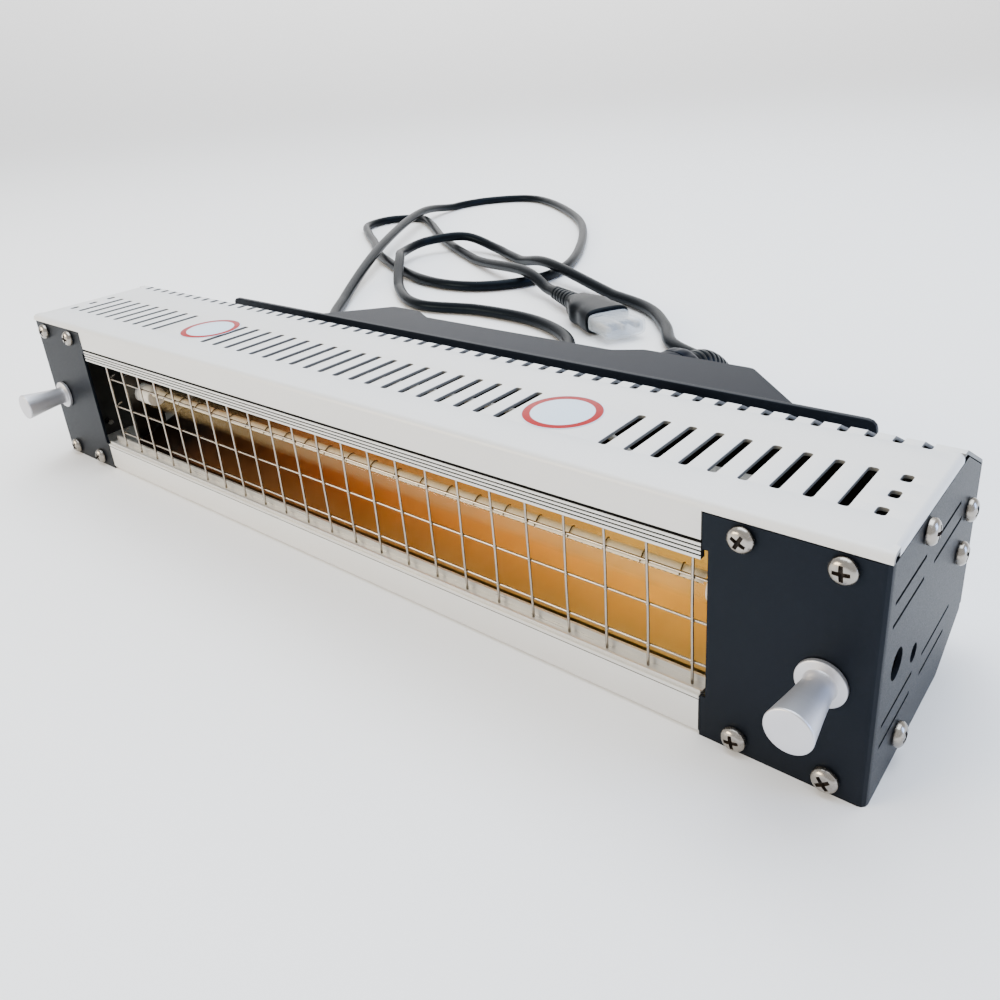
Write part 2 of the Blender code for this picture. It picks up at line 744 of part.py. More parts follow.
def stand_off_knobs():
    bore = KNOB_SCREW_RADIUS + GAP
    knob_profile = (
        (0, KNOB_LENGTH),
        (KNOB_TIP_RADIUS - 0.5, KNOB_LENGTH),
        (KNOB_TIP_RADIUS, KNOB_LENGTH - 0.5),
        (KNOB_TIP_RADIUS - 0.2, KNOB_LENGTH - 3),
        (KNOB_NECK_RADIUS + 0.5, KNOB_FLANGE + 5),
        (KNOB_NECK_RADIUS, KNOB_FLANGE + 1),
        (KNOB_NECK_RADIUS + 0.2, KNOB_FLANGE),
        (KNOB_FLANGE_RADIUS - 0.4, KNOB_FLANGE),
        (KNOB_FLANGE_RADIUS, KNOB_FLANGE - 0.4),
        (KNOB_FLANGE_RADIUS, GAP),
        (bore, GAP),
        (bore, KNOB_BORE_DEPTH),
        (0, KNOB_BORE_DEPTH),
    )
    head = -(CAP_SHEET + FRAME_SHEET + 2 * GAP)
    screw_profile = (
        (0, KNOB_BORE_DEPTH - 1),
        (KNOB_SCREW_RADIUS, KNOB_BORE_DEPTH - 1),
        (KNOB_SCREW_RADIUS, head),
        (3.5, head),
        (3.5, head - 2.6),
        (0, head - 2.6),
    )
    knob = turned_mesh("stand_off_knob", knob_profile, 20)
    knob.materials.append(KNOB_ALUMINIUM)
    stud = turned_mesh("knob_screw", screw_profile, 10)
    stud.materials.append(SCREW_NICKEL)
    for side, label in ((-1, "left"), (1, "right")):
        for name, mesh in ((f"stand_off_knob_{label}", knob), (f"knob_screw_{label}", stud)):
            place(piece(name, mesh), (side * KNOB_X, 0, KNOB_HEIGHT), (90, 0, 0))


# Window


def window_trims():
    half = CAP_INNER - GAP
    top = BODY_HEIGHT - FLANGE_DROP - GAP
    low = top - TRIM_HEIGHT
    face = [(0, low)]
    for share in (0.3, 0.62):
        z = low + share * TRIM_HEIGHT
        face += [(0, z - 0.3), (TRIM_GROOVE, z - 0.1), (TRIM_GROOVE, z + 0.1), (0, z + 0.3)]
    tab = COVER_SHEET + GAP
    face += [(0, top - 0.4), (0.4, top), (tab, top), (tab, top + TRIM_TAB)]
    face += [(TRIM_DEPTH, top + TRIM_TAB), (TRIM_DEPTH, low)]
    flat_piece("upper_trim", face, -half, half, "X", TRIM_ALUMINIUM)

    base = LIP_RISE + GAP
    groove = GUARD_Y - WIRE_RADIUS - GAP - 0.4
    sill = (
        (0, base),
        (tab, base),
        (tab, base - TRIM_TAB),
        (TRIM_DEPTH + GAP, base - TRIM_TAB),
        (TRIM_DEPTH + GAP, base),
        (SILL_DEPTH, base),
        (SILL_DEPTH, base + SILL_HEIGHT),
        (SILL_DEPTH - 0.8, base + SILL_HEIGHT),
        (SILL_DEPTH - 0.8, base + 1.1),
        (groove, base + 1.1),
        (groove, base + 1.9),
        (groove - 0.7, base + 1.9),
        (groove - 0.7, base + 0.9),
        (0, base + 0.9),
    )
    flat_piece("lower_trim", sill, -half, half, "X", TRIM_ALUMINIUM)


def wire_guard():
    """Upright wires welded across three long ones, whose left ends turn back and whose right ends pass behind the cap."""
    foot = LIP_RISE + 1.1 + 2 * GAP
    uprights = bmesh.new()
    for index in range(GUARD_BARS):
        x = GUARD_SHIFT + (index - (GUARD_BARS - 1) / 2) * GUARD_PITCH
        add_rod(uprights, (x, GUARD_Y, foot), (x, GUARD_Y, GUARD_TOP), WIRE_RADIUS, 6)
    guard = from_form("wire_guard", uprights, GUARD_WIRE)
    left = GUARD_SHIFT - (GUARD_BARS - 1) / 2 * GUARD_PITCH - 1.0
    rails = []
    for height in GUARD_RAILS:
        points = (
            (left - 2.5, GUARD_Y + 4, height),
            (left, GUARD_Y + 0.6, height),
            (GUARD_END, GUARD_Y + 0.6, height),
        )
        rail = tube(f"guard_rail_{height:.0f}", points, WIRE_RADIUS, None, 1)
        rails.append(rail)
    for rail in rails:
        boolean(guard, rail, "UNION")


# Reflector and lamp


def reflector():
    """A parabolic trough of thin gold sheet, its rims turned out behind the window."""
    half_mouth = REFLECTOR_APERTURE
    depth = REFLECTOR_BACK - REFLECTOR_MOUTH
    rim = 2.5
    path = [(REFLECTOR_MOUTH, MIDDLE + half_mouth + rim)]
    steps = 16
    for index in range(steps + 1):
        share = 1 - 2 * index / steps
        path.append((REFLECTOR_BACK - depth * share * share, MIDDLE + half_mouth * share))
    path.append((REFLECTOR_MOUTH, MIDDLE - half_mouth - rim))
    outline = sheet(path, -REFLECTOR_SHEET)
    flat_piece("reflector", outline, REFLECTOR_LEFT, REFLECTOR_RIGHT, "X", GOLD)


def lamp():
    length = TUBE_RIGHT - TUBE_LEFT
    bore = TUBE_RADIUS - TUBE_WALL
    wall = (
        (bore, length),
        (TUBE_RADIUS, length),
        (TUBE_RADIUS, 0),
        (bore, 0),
        (bore, length),
    )
    glass = turned("quartz_tube", wall, 16, QUARTZ)
    place(round_off(glass), (TUBE_LEFT, TUBE_Y, TUBE_Z), (0, 90, 0))
    form = bmesh.new()
    ends = (TUBE_LEFT + 2, TUBE_RIGHT - 2)
    add_rod(form, (ends[0], TUBE_Y, TUBE_Z), (ends[1], TUBE_Y, TUBE_Z), FILAMENT_RADIUS, 8)
    from_form("filament", form, TUNGSTEN)
    for side, label, end in ((-1, "left", TUBE_LEFT), (1, "right", TUBE_RIGHT)):
        start = (end + side * GAP, TUBE_Y, TUBE_Z)
        stop = (end + side * (GAP + CERAMIC_LENGTH), TUBE_Y, TUBE_Z)
        form = bmesh.new()
        add_rod(form, start, stop, CERAMIC_RADIUS, 14)
        round_off(from_form(f"lamp_end_{label}", form, CERAMIC))
        lamp_holder(side, label, end + side * (CERAMIC_LENGTH - 4))


def lamp_holder(side, label, x):
    """A bent bracket that stands on the bottom cover and holds one ceramic end."""
    floor = COVER_SHEET + GAP
    path = rounded(((x, HOLDER_HEIGHT), (x, floor), (x + side * HOLDER_FOOT, floor)), 2.0, 2)
    outline = path + offset(path, -side * HOLDER_SHEET)[::-1]
    low = TUBE_Y - HOLDER_WIDTH / 2
    holder = flat_piece(f"lamp_holder_{label}", outline, low, low + HOLDER_WIDTH, "Y", BRIGHT_STEEL)
    hole = ((x - 3, TUBE_Y, TUBE_Z), (x + 3, TUBE_Y, TUBE_Z), CERAMIC_RADIUS + GAP, 14)
    boolean(holder, cutter(f"lamp_holder_{label}_hole", (), (hole,)))


def wiring():
    low = [centre - size / 2 for centre, size in zip(BLOCK_CENTRE, BLOCK)]
    high = [centre + size / 2 for centre, size in zip(BLOCK_CENTRE, BLOCK)]
    block = box("terminal_block", low, high, CERAMIC)
    bevel = block.modifiers.new("edges", "BEVEL")
    bevel.width = 1.0 * MM
    bevel.segments = 1
    left = TUBE_LEFT - GAP - CERAMIC_LENGTH - GAP
    right = TUBE_RIGHT + GAP + CERAMIC_LENGTH + GAP
    behind = REFLECTOR_BACK + 11
    left_route = (
        (left, TUBE_Y, TUBE_Z),
        (left - 8, TUBE_Y + 1, TUBE_Z),
        (left - 14, TUBE_Y + 9, TUBE_Z + 2),
        (left - 14, TUBE_Y + 28, TUBE_Z + 7),
        (left - 8, behind - 4, TUBE_Z + 11),
        (left + 8, behind, TUBE_Z + 13),
        (low[0] - 26, behind, TUBE_Z + 13),
        (low[0] - 15, behind, TUBE_Z + 6),
        (low[0] - 8, behind, TUBE_Z + 3),
        (low[0] - GAP, behind, TUBE_Z + 3),
    )
    right_route = (
        (right, TUBE_Y, TUBE_Z),
        (right + 6, TUBE_Y + 1, TUBE_Z),
        (right + 12, TUBE_Y + 9, TUBE_Z),
        (right + 12, TUBE_Y + 28, TUBE_Z),
        (right + 4, behind, TUBE_Z),
        (right - 6, behind + 2, TUBE_Z),
        (high[0] + GAP, behind + 2, TUBE_Z),
    )
    tube("lamp_lead_left", left_route, LEAD_RADIUS, SLEEVE_WHITE)
    tube("lamp_lead_right", right_route, LEAD_RADIUS, SLEEVE_WHITE)
    flex = (
        (GLAND_X, HANDLE_REACH - HANDLE_WALL - 2, MIDDLE),
        (GLAND_X + 4, HANDLE_REACH - 12, MIDDLE),
        (GLAND_X + 16, HANDLE_REACH - 17.5, MIDDLE),
        (GLAND_X + 33, HANDLE_REACH - 21.5, MIDDLE),
        (FLEX_X - 13, HANDLE_FOOT + 20, MIDDLE),
        (FLEX_X - 3, HANDLE_FOOT + 12, MIDDLE),
        (FLEX_X, HANDLE_FOOT + 5, MIDDLE),
        (FLEX_X, high[1] + GAP, MIDDLE),
    )
    tube("inner_flex", flex, FLEX_RADIUS, CORD_BLACK)


# Handle plate and handle


def handle_plate():
    half = PLATE_LENGTH / 2
    low = MIDDLE - PLATE_HEIGHT / 2
    high = MIDDLE + PLATE_HEIGHT / 2
    corners = ((-half, low), (half, low), (half, high), (-half, high))
    outline = rounded(corners, PLATE_CORNER, 3, closed=True)
    plate = flat_piece("handle_plate", outline, PLATE_Y, PLATE_Y + PLATE_SHEET, "Y", CAP_BLACK)
    near = PLATE_Y - 1
    far = PLATE_Y + PLATE_SHEET + 1
    drills = [((FLEX_X, near, MIDDLE), (FLEX_X, far, MIDDLE), FLEX_RADIUS + GAP)]
    for side, label in ((-1, "left"), (1, "right")):
        for x in (side * SPACER_X, side * HANDLE_BOLT_X):
            drills.append(((x, near, MIDDLE), (x, far, MIDDLE), BOLT_RADIUS + GAP))
        low = (side * SPACER_X - SPACER_WIDTH / 2, BODY_DEPTH + GAP, MIDDLE - SPACER_HEIGHT / 2)
        high = (side * SPACER_X + SPACER_WIDTH / 2, PLATE_Y - GAP, MIDDLE + SPACER_HEIGHT / 2)
        spacer = box(f"plate_spacer_{label}", low, high, PLASTIC_BLACK)
        hole = ((side * SPACER_X, BODY_DEPTH, MIDDLE), (side * SPACER_X, PLATE_Y, MIDDLE), BOLT_RADIUS + GAP)
        boolean(spacer, cutter(f"plate_spacer_{label}_hole", (), (hole,)))
    boolean(plate, cutter("handle_plate_holes", (), drills))
    plate_bolt = screw_mesh("plate_bolt", BOLT_HEAD_RADIUS, BOLT_HEAD_HEIGHT, BOLT_RADIUS, 20.0, 12)
    plate_bolt.materials.append(SCREW_NICKEL)
    handle_bolt = screw_mesh("handle_bolt", BOLT_HEAD_RADIUS, BOLT_HEAD_HEIGHT, BOLT_RADIUS, 14.0, 12)
    handle_bolt.materials.append(SCREW_NICKEL)
    for side, label in ((-1, "left"), (1, "right")):
        rear = PLATE_Y + PLATE_SHEET + GAP
        place(piece(f"plate_bolt_{label}", plate_bolt), (side * SPACER_X, rear, MIDDLE), (-90, 0, 0))
        bolt = piece(f"handle_bolt_{label}", handle_bolt)
        place(bolt, (side * HANDLE_BOLT_X, PLATE_Y - GAP, MIDDLE), (90, 0, 0))


def handle_outline():
    """The handle seen from above: splayed feet, square ends and a grip that dips for the palm."""
    dip_left, dip_right = GRIP_DIP
    corners = (
        (HANDLE_FOOT_OUTER, HANDLE_FOOT),
        (HANDLE_END, HANDLE_REACH),
        (dip_right + 12, HANDLE_REACH),
        (dip_right, GRIP_REAR),
        (dip_left, GRIP_REAR),
        (dip_left - 12, HANDLE_REACH),
        (-HANDLE_END, HANDLE_REACH),
        (-HANDLE_FOOT_OUTER, HANDLE_FOOT),
        (-HANDLE_FOOT_INNER, HANDLE_FOOT),
        (-GRIP_HALF, GRIP_INNER),
        (GRIP_HALF, GRIP_INNER),
        (HANDLE_FOOT_INNER, HANDLE_FOOT),
    )
    return rounded(corners, 4.0, 2, closed=True)[::-1]


def handle():
    outline = handle_outline()
    low = MIDDLE - HANDLE_WIDTH / 2
    high = MIDDLE + HANDLE_WIDTH / 2
    hollow = offset(outline, HANDLE_WALL, closed=True)
    reach = HANDLE_REACH + 20
    end = HANDLE_BOLT_X - 2 * BOLT_RADIUS - HANDLE_WALL
    for label, bottom, top in (("lower", low - 1, MIDDLE - GAP / 2), ("upper", MIDDLE + GAP / 2, high + 1)):
        name = f"handle_{label}_shell"
        shell = flat_piece(name, outline, low, high, "Z", PLASTIC_BLACK)
        rim = shell.modifiers.new("rim", "BEVEL")
        rim.width = HANDLE_EDGE * MM
        rim.segments = 2
        rim.limit_method = "ANGLE"
        rim.angle_limit = math.radians(60)
        half_box = box(name + "_half", (-reach, HANDLE_FOOT - 1, bottom), (reach, reach, top))
        boolean(shell, half_box, "INTERSECT")
        inner = (low + HANDLE_WALL, high - HANDLE_WALL)
        cavity = flat_piece(name + "_cavity", hollow, *inner, "Z")
        boolean(cavity, box(name + "_ends", (-end, 0, low), (end, reach, high)), "INTERSECT")
        boolean(shell, cavity)
        boolean(shell, cutter(name + "_cuts", handle_cuts(), handle_drills()))


def handle_cuts():
    """The switch's opening in the rear face."""
    half = SWITCH_BODY[0] / 2 + GAP
    tall = SWITCH_BODY[1] / 2 + GAP
    low = (SWITCH_X - half, HANDLE_REACH - 2 * HANDLE_WALL, MIDDLE - tall)
    return [(low, (SWITCH_X + half, HANDLE_REACH + 1, MIDDLE + tall))]


def handle_drills():
    """Holes for the foot bolts, for the flex and for the cord gland's tail."""
    drills = []
    for side in (-1, 1):
        x = side * HANDLE_BOLT_X
        stop = HANDLE_FOOT + 14
        drills.append(((x, HANDLE_FOOT - 1, MIDDLE), (x, stop, MIDDLE), BOLT_RADIUS + GAP))
    flex_end = HANDLE_FOOT + 2 * HANDLE_WALL
    drills.append(((FLEX_X, HANDLE_FOOT - 1, MIDDLE), (FLEX_X, flex_end, MIDDLE), FLEX_RADIUS + GAP))
    near = HANDLE_REACH - 2 * HANDLE_WALL
    drills.append(((GLAND_X, near, MIDDLE), (GLAND_X, HANDLE_REACH + 1, MIDDLE), FLEX_RADIUS + 4 * GAP))
    return drills


# Rocker switch


def rocker_switch():
    long, tall, thick = SWITCH_BEZEL
    face = HANDLE_REACH + GAP
    bezel_low = (SWITCH_X - long / 2, face, MIDDLE - tall / 2)
    housing = box("switch_housing", bezel_low, (SWITCH_X + long / 2, face + thick, MIDDLE + tall / 2), PLASTIC_BLACK)
    body_long, body_tall, body_deep = SWITCH_BODY
    body_low = (SWITCH_X - body_long / 2, face - body_deep, MIDDLE - body_tall / 2)
    body_high = (SWITCH_X + body_long / 2, face + thick / 2, MIDDLE + body_tall / 2)
    boolean(housing, box("switch_body", body_low, body_high), "UNION")
    pivot = face + thick - ROCKER_PIVOT
    well_half = math.hypot(ROCKER[0] / 2, ROCKER_CREST) + GAP
    well_deep = ROCKER_DEPTH + ROCKER[0] / 2 * math.sin(math.radians(ROCKER_TILT)) + GAP
    well_tall = ROCKER[1] / 2 + GAP
    well_low = (SWITCH_X - well_half, pivot - well_deep, MIDDLE - well_tall)
    well_high = (SWITCH_X + well_half, face + thick + 1, MIDDLE + well_tall)
    boolean(housing, box("switch_well", well_low, well_high))
    pivot_point = bpy.data.objects.new("rocker_pivot", None)
    LAMP.objects.link(pivot_point)
    pivot_point.parent = FRAME
    place(pivot_point, (SWITCH_X, pivot, MIDDLE), (0, 0, -ROCKER_TILT))
    half = ROCKER[0] / 2
    outline = (
        (-half + 0.8, -ROCKER_DEPTH),
        (half - 0.8, -ROCKER_DEPTH),
        (half, ROCKER_CREST),
        (half / 2, 0.45 * ROCKER_CREST),
        (-half / 2, 0.45 * ROCKER_CREST),
        (-half, ROCKER_CREST),
    )
    tall_half = ROCKER[1] / 2
    rocker = flat_piece("switch_rocker", outline, -tall_half, tall_half, "Z", PLASTIC_BLACK)
    rocker.parent = pivot_point


# Mains cord


def smooth_route(points, step):
    """Points a step apart along the Catmull-Rom curve through the given ones."""
    fine = []
    padded = (2 * Vector(points[0]) - Vector(points[1]), *map(Vector, points))
    padded = (*padded, 2 * padded[-1] - padded[-2])
    for p0, p1, p2, p3 in zip(padded, padded[1:], padded[2:], padded[3:]):
        for index in range(24):
            t = index / 24
            cubic = (3 * p1 - p0 - 3 * p2 + p3) * t**3
            square = (2 * p0 - 5 * p1 + 4 * p2 - p3) * t**2
            point = 0.5 * (2 * p1 + (p2 - p0) * t + square + cubic)
            point.z = max(point.z, CORD_RADIUS + GAP)
            fine.append(point)
    fine.append(padded[-2])
    total = sum((b - a).length for a, b in zip(fine, fine[1:]))
    spacing = total / round(total / step)
    chosen = [fine[0]]
    travelled = 0.0
    for a, b in zip(fine, fine[1:]):
        travelled += (b - a).length
        if travelled >= spacing * len(chosen) and spacing * len(chosen) < total - spacing / 2:
            chosen.append(b)
    chosen.append(fine[-1])
    return chosen


def plug_matrix():
    """The plug's own frame: +X towards its pins, with its origin at the tip of the pin cover."""
    along = Vector((*PLUG_DIRECTION, 0)).normalized()
    axis = PLUG_BODY[2] / 2 + GAP
    turn = along.to_track_quat("X", "Z").to_matrix().to_4x4()
    return Matrix.Translation((PLUG_TIP[0] * MM, PLUG_TIP[1] * MM, axis * MM)) @ turn


def plug_end():
    """Where the cord meets the plug's relief, and the direction into it."""
    along = Vector((*PLUG_DIRECTION, 0)).normalized()
    back = PLUG_COVER[0] + GAP + PLUG_BODY[0] + PLUG_RELIEF + GAP
    point = Vector((*PLUG_TIP, PLUG_BODY[2] / 2 + GAP)) - along * back
    return point, along


def cord_and_gland():
    seat = HANDLE_REACH + GAP
    mouth = seat + GLAND_LENGTH
    bore = CORD_RADIUS + GAP
    profile = (
        (bore, GLAND_LENGTH),
        (RELIEF_RADIUS + 0.6, GLAND_LENGTH),
        (GLAND_RADIUS - 2.2, GLAND_LENGTH - 2.6),
        (GLAND_RADIUS, GLAND_LENGTH - 7.5),
        (GLAND_RADIUS, 1.0),
        (GLAND_RADIUS - 1.0, 0),
        (bore, 0),
        (bore, GLAND_LENGTH),
    )
    gland = turned("cord_gland", profile, 18, PLASTIC_BLACK)
    place(round_off(gland), (GLAND_X, seat, MIDDLE), (-90, 0, 0))
    start = mouth + GAP
    points = [(GLAND_X, start + back, MIDDLE + down) for back, down in RELIEF_POINTS]
    taper = [1.0, 0.96, 0.89, 0.83, 0.78]
    tube("strain_relief", points, RELIEF_RADIUS, CORD_BLACK, 3, taper)
    last = Vector(points[-1])
    heading = (last - Vector(points[-2])).normalized()
    end, along = plug_end()
    first = last + heading * GAP
    route = [first + heading * CORD_STRAIGHT, *ROUTE, end - along * 3 * CORD_STRAIGHT, end - along * CORD_STRAIGHT]
    points = [first, *smooth_route(route, CORD_STEP), end]
    tube("mains_cord", points, CORD_RADIUS, CORD_BLACK)


def in_plug_frame(obj):
    obj.matrix_basis = plug_matrix()
    return obj


def plug():
    cover_long, cover_wide, cover_tall = PLUG_COVER
    body_long, body_wide, body_tall = PLUG_BODY
    face = -cover_long - GAP
    rear = face - body_long
    body = box(
        "plug_body",
        (rear, -body_wide / 2, -body_tall / 2),
        (face, body_wide / 2, body_tall / 2),
        CORD_BLACK,
    )
    bevel = body.modifiers.new("edges", "BEVEL")
    bevel.width = 3.5 * MM
    bevel.segments = 2
    relief = bmesh.new()
    matrix = Matrix.Translation(((rear - PLUG_RELIEF / 2 + 2) * MM, 0, 0)) @ Matrix.Rotation(-math.pi / 2, 4, "Y")
    bmesh.ops.create_cone(
        relief,
        cap_ends=True,
        segments=12,
        radius1=PLUG_RELIEF_RADIUS * MM,
        radius2=(CORD_RADIUS + 0.8) * MM,
        depth=(PLUG_RELIEF + 4) * MM,
        matrix=matrix,
    )
    boolean(body, in_plug_frame(from_form("plug_relief", relief)), "UNION")
    in_plug_frame(body)
    for offset_index, label in ((-1, "left"), (0, "middle"), (1, "right")):
        form = bmesh.new()
        y = offset_index * PLUG_PIN_PITCH
        add_rod(form, (face + GAP, y, 0), (face + GAP + PLUG_PIN_LENGTH, y, 0), PLUG_PIN_RADIUS, 12)
        in_plug_frame(round_off(from_form(f"plug_pin_{label}", form, SCREW_NICKEL)))
    low = (-cover_long, -cover_wide / 2, -cover_tall / 2)
    cover = box("plug_pin_cover", low, (0, cover_wide / 2, cover_tall / 2), CLEAR)
    wall = PLUG_COVER_WALL
    inside = box(
        "plug_pin_cover_hollow",
        (-cover_long - 1, wall - cover_wide / 2, wall - cover_tall / 2),
        (-wall, cover_wide / 2 - wall, cover_tall / 2 - wall),
    )
    boolean(cover, in_plug_frame(inside))
    in_plug_frame(cover)


def main():
    top_cover()
    bottom_cover()
    for side in (-1, 1):
        end_cap(side)
        end_frame(side)
    cap_screws()
    stand_off_knobs()
    window_trims()
    wire_guard()
    reflector()
    lamp()
    wiring()
    handle_plate()
    handle()
    rocker_switch()
    cord_and_gland()
    plug()


main()
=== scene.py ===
"""The looks of a hand-held infrared heat lamp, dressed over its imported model.

Sizes are millimetres in the lamp's own layout: X along the housing, Y back from its front face, Z up from its
flat underside. Layout.place() turns them into the row frame, in metres.
"""

from __future__ import annotations

import json
import logging
import math
from dataclasses import dataclass, field
from enum import Enum

import bmesh
import bpy
import numpy as np
from mathutils import Matrix, Vector

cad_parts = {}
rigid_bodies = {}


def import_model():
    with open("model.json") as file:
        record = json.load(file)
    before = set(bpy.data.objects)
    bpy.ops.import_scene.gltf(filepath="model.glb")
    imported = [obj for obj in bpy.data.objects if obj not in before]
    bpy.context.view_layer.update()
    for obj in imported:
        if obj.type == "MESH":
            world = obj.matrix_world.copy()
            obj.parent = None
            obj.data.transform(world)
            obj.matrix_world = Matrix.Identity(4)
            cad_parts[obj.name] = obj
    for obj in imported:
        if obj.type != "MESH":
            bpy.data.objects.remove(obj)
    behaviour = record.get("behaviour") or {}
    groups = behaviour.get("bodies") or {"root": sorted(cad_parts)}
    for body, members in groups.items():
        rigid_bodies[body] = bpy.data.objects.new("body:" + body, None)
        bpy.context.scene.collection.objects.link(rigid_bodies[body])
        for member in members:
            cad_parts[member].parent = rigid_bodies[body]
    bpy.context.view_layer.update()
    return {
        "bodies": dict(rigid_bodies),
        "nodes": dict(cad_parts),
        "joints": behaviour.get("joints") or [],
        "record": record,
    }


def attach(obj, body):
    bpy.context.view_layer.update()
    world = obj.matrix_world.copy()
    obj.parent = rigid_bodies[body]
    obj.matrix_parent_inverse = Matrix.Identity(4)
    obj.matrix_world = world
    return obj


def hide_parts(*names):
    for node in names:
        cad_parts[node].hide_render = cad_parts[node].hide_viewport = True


LOG = logging.getLogger("heat_lamp")
MM = 0.001
Points = np.ndarray
Colour = tuple[float, float, float]
Place = tuple[float, float, float]
Pair = tuple[float, float]


class Side(Enum):
    """The two ends of the lamp, each with its sign along X."""

    LEFT = -1
    RIGHT = 1

    @property
    def label(self) -> str:
        """The word that the node names use."""
        return self.name.lower()


@dataclass(frozen=True)
class Layout:
    """Sizes that more than one sub-assembly shares."""

    centre_y: float = 67.65
    length: float = 377.8
    height: float = 67.4
    depth: float = 75.5
    chamfer_run: float = 20.0
    chamfer_rise: float = 11.0
    cap_width: float = 41.6
    handle_reach: float = 137.0
    sheet: float = 1.0
    gap: float = 0.3

    @property
    def cap_inner(self) -> float:
        """Where the window ends and each end cap begins, counted from the middle."""
        return self.length / 2 - self.cap_width

    @property
    def middle(self) -> float:
        """Half the housing's height."""
        return self.height / 2

    def place(self, points: Points) -> Points:
        """Turn layout points into the row frame.

        Args:
            points: Any array whose last axis is (x, y, z) in millimetres.

        Returns:
            The same points in metres, counted from the row's origin.
        """
        moved = np.array(points, float)
        moved[..., 1] -= self.centre_y
        return moved * MM


LAYOUT = Layout()


# Parametric surfaces


class Shell:
    """Patches worked out as whole arrays and gathered into one mesh."""

    def __init__(self) -> None:
        """Start with no patches."""
        self.points: list[Points] = []
        self.faces: list[list[list[int]]] = []
        self.count = 0

    def _add(self, points: Points, faces: np.ndarray) -> None:
        """Append a patch whose faces count from its own first point.

        Args:
            points: The patch's points.
            faces: Its faces, as numbers of those points.
        """
        self.points.append(points.reshape(-1, 3))
        self.faces.append((faces + self.count).tolist())
        self.count += points.reshape(-1, 3).shape[0]

    def grid(
        self,
        points: Points,
        *,
        close_rows: bool = False,
        close_columns: bool = False,
        flip: bool = False,
        keep: np.ndarray | None = None,
    ) -> Shell:
        """Add a grid of points with a four-sided face between each row and column.

        Args:
            points: Array of shape (rows, columns, 3) in layout millimetres.
            close_rows: Whether the last row joins the first.
            close_columns: Whether the last column joins the first.
            flip: Whether the faces turn the other way.
            keep: Which of the (rows - 1, columns - 1) faces to make.

        Returns:
            This shell, so that calls can follow each other.
        """
        rows, columns = points.shape[:2]
        index = np.arange(rows * columns).reshape(rows, columns)
        if close_rows:
            index = np.concatenate([index, index[:1]])
        if close_columns:
            index = np.concatenate([index, index[:, :1]], axis=1)
        corners = (index[:-1, :-1], index[1:, :-1], index[1:, 1:], index[:-1, 1:])
        quads = np.stack(corners, axis=-1)
        quads = quads[keep] if keep is not None else quads.reshape(-1, 4)
        self._add(points, quads[:, ::-1] if flip else quads)
        return self

    def zipper(self, low: Points, high: Points, *, flip: bool = False) -> Shell:
        """Join two rows that both run along X but have their points in different places.

        The points of both rows are put in order of X. Each next point makes one triangle with the last
        point reached on either row.

        Args:
            low: First row, shape (n, 3).
            high: Second row, shape (m, 3).
            flip: Whether the faces turn the other way.

        Returns:
            This shell.
        """
        steps = np.concatenate([low[1:, 0], high[1:, 0]])
        on_low = np.concatenate([np.ones(len(low) - 1, bool), np.zeros(len(high) - 1, bool)])
        order = np.argsort(steps, kind="stable")
        on_low = on_low[order]
        low_at = np.concatenate([[0], np.cumsum(on_low)])
        high_at = np.concatenate([[0], np.cumsum(~on_low)])
        third = np.where(on_low, low_at[1:], len(low) + high_at[1:])
        faces = np.stack([low_at[:-1], len(low) + high_at[:-1], third], axis=1)
        self._add(np.concatenate([low, high]), faces[:, ::-1] if flip else faces)
        return self

    def bar(self, outline: Points, start: float, end: float) -> Shell:
        """Add a straight bar: a closed (Y, Z) outline carried along X, with a flat face at each end.

        Args:
            outline: Corners of the outline, shape (n, 2), in order.
            start: X of one end.
            end: X of the other.

        Returns:
            This shell.
        """
        count = len(outline)
        ends = [np.column_stack([np.full(count, x), outline]) for x in (start, end)]
        self.grid(np.stack(ends), close_columns=True)
        base = self.count
        self._add(np.concatenate(ends), np.empty((0, 4), int))
        near, far = list(range(base, base + count)), list(range(base + count, base + 2 * count))
        self.faces.append([near[::-1], far])
        return self

    def build(self, name: str, *, smooth: float = 40.0, outward: bool = True) -> bpy.types.Object:
        """Make the mesh object in the row frame, its seams and poles closed.

        Args:
            name: Name of the piece.
            smooth: Edges flatter than this many degrees are shaded smooth.
            outward: Whether to recalculate the normals, which only a closed body can take.

        Returns:
            The new object at the origin.
        """
        points = LAYOUT.place(np.concatenate(self.points))
        faces = [face for patch in self.faces for face in patch]
        mesh = bpy.data.meshes.new(name)
        mesh.from_pydata(points.tolist(), [], faces)
        return from_mesh(name, mesh, smooth=smooth, outward=outward)


def from_mesh(
    name: str,
    mesh: bpy.types.Mesh,
    *,
    smooth: float = 40.0,
    outward: bool = True,
) -> bpy.types.Object:
    """Weld a mesh, drop its empty faces and link it as an object.

    Args:
        name: Name of the piece.
        mesh: Its mesh in the row frame.
        smooth: Edges flatter than this many degrees are shaded smooth.
        outward: Whether to recalculate the normals.

    Returns:
        The object, at the origin.
    """
    form = bmesh.new()
    form.from_mesh(mesh)
    bmesh.ops.remove_doubles(form, verts=form.verts, dist=2e-6)
    bmesh.ops.dissolve_degenerate(form, edges=form.edges, dist=1e-7)
    if outward:
        bmesh.ops.recalc_face_normals(form, faces=form.faces)
    form.to_mesh(mesh)
    form.free()
    mesh.shade_smooth()
    mesh.set_sharp_from_angle(angle=math.radians(smooth))
    obj = bpy.data.objects.new(name, mesh)
    bpy.context.scene.collection.objects.link(obj)
    return obj


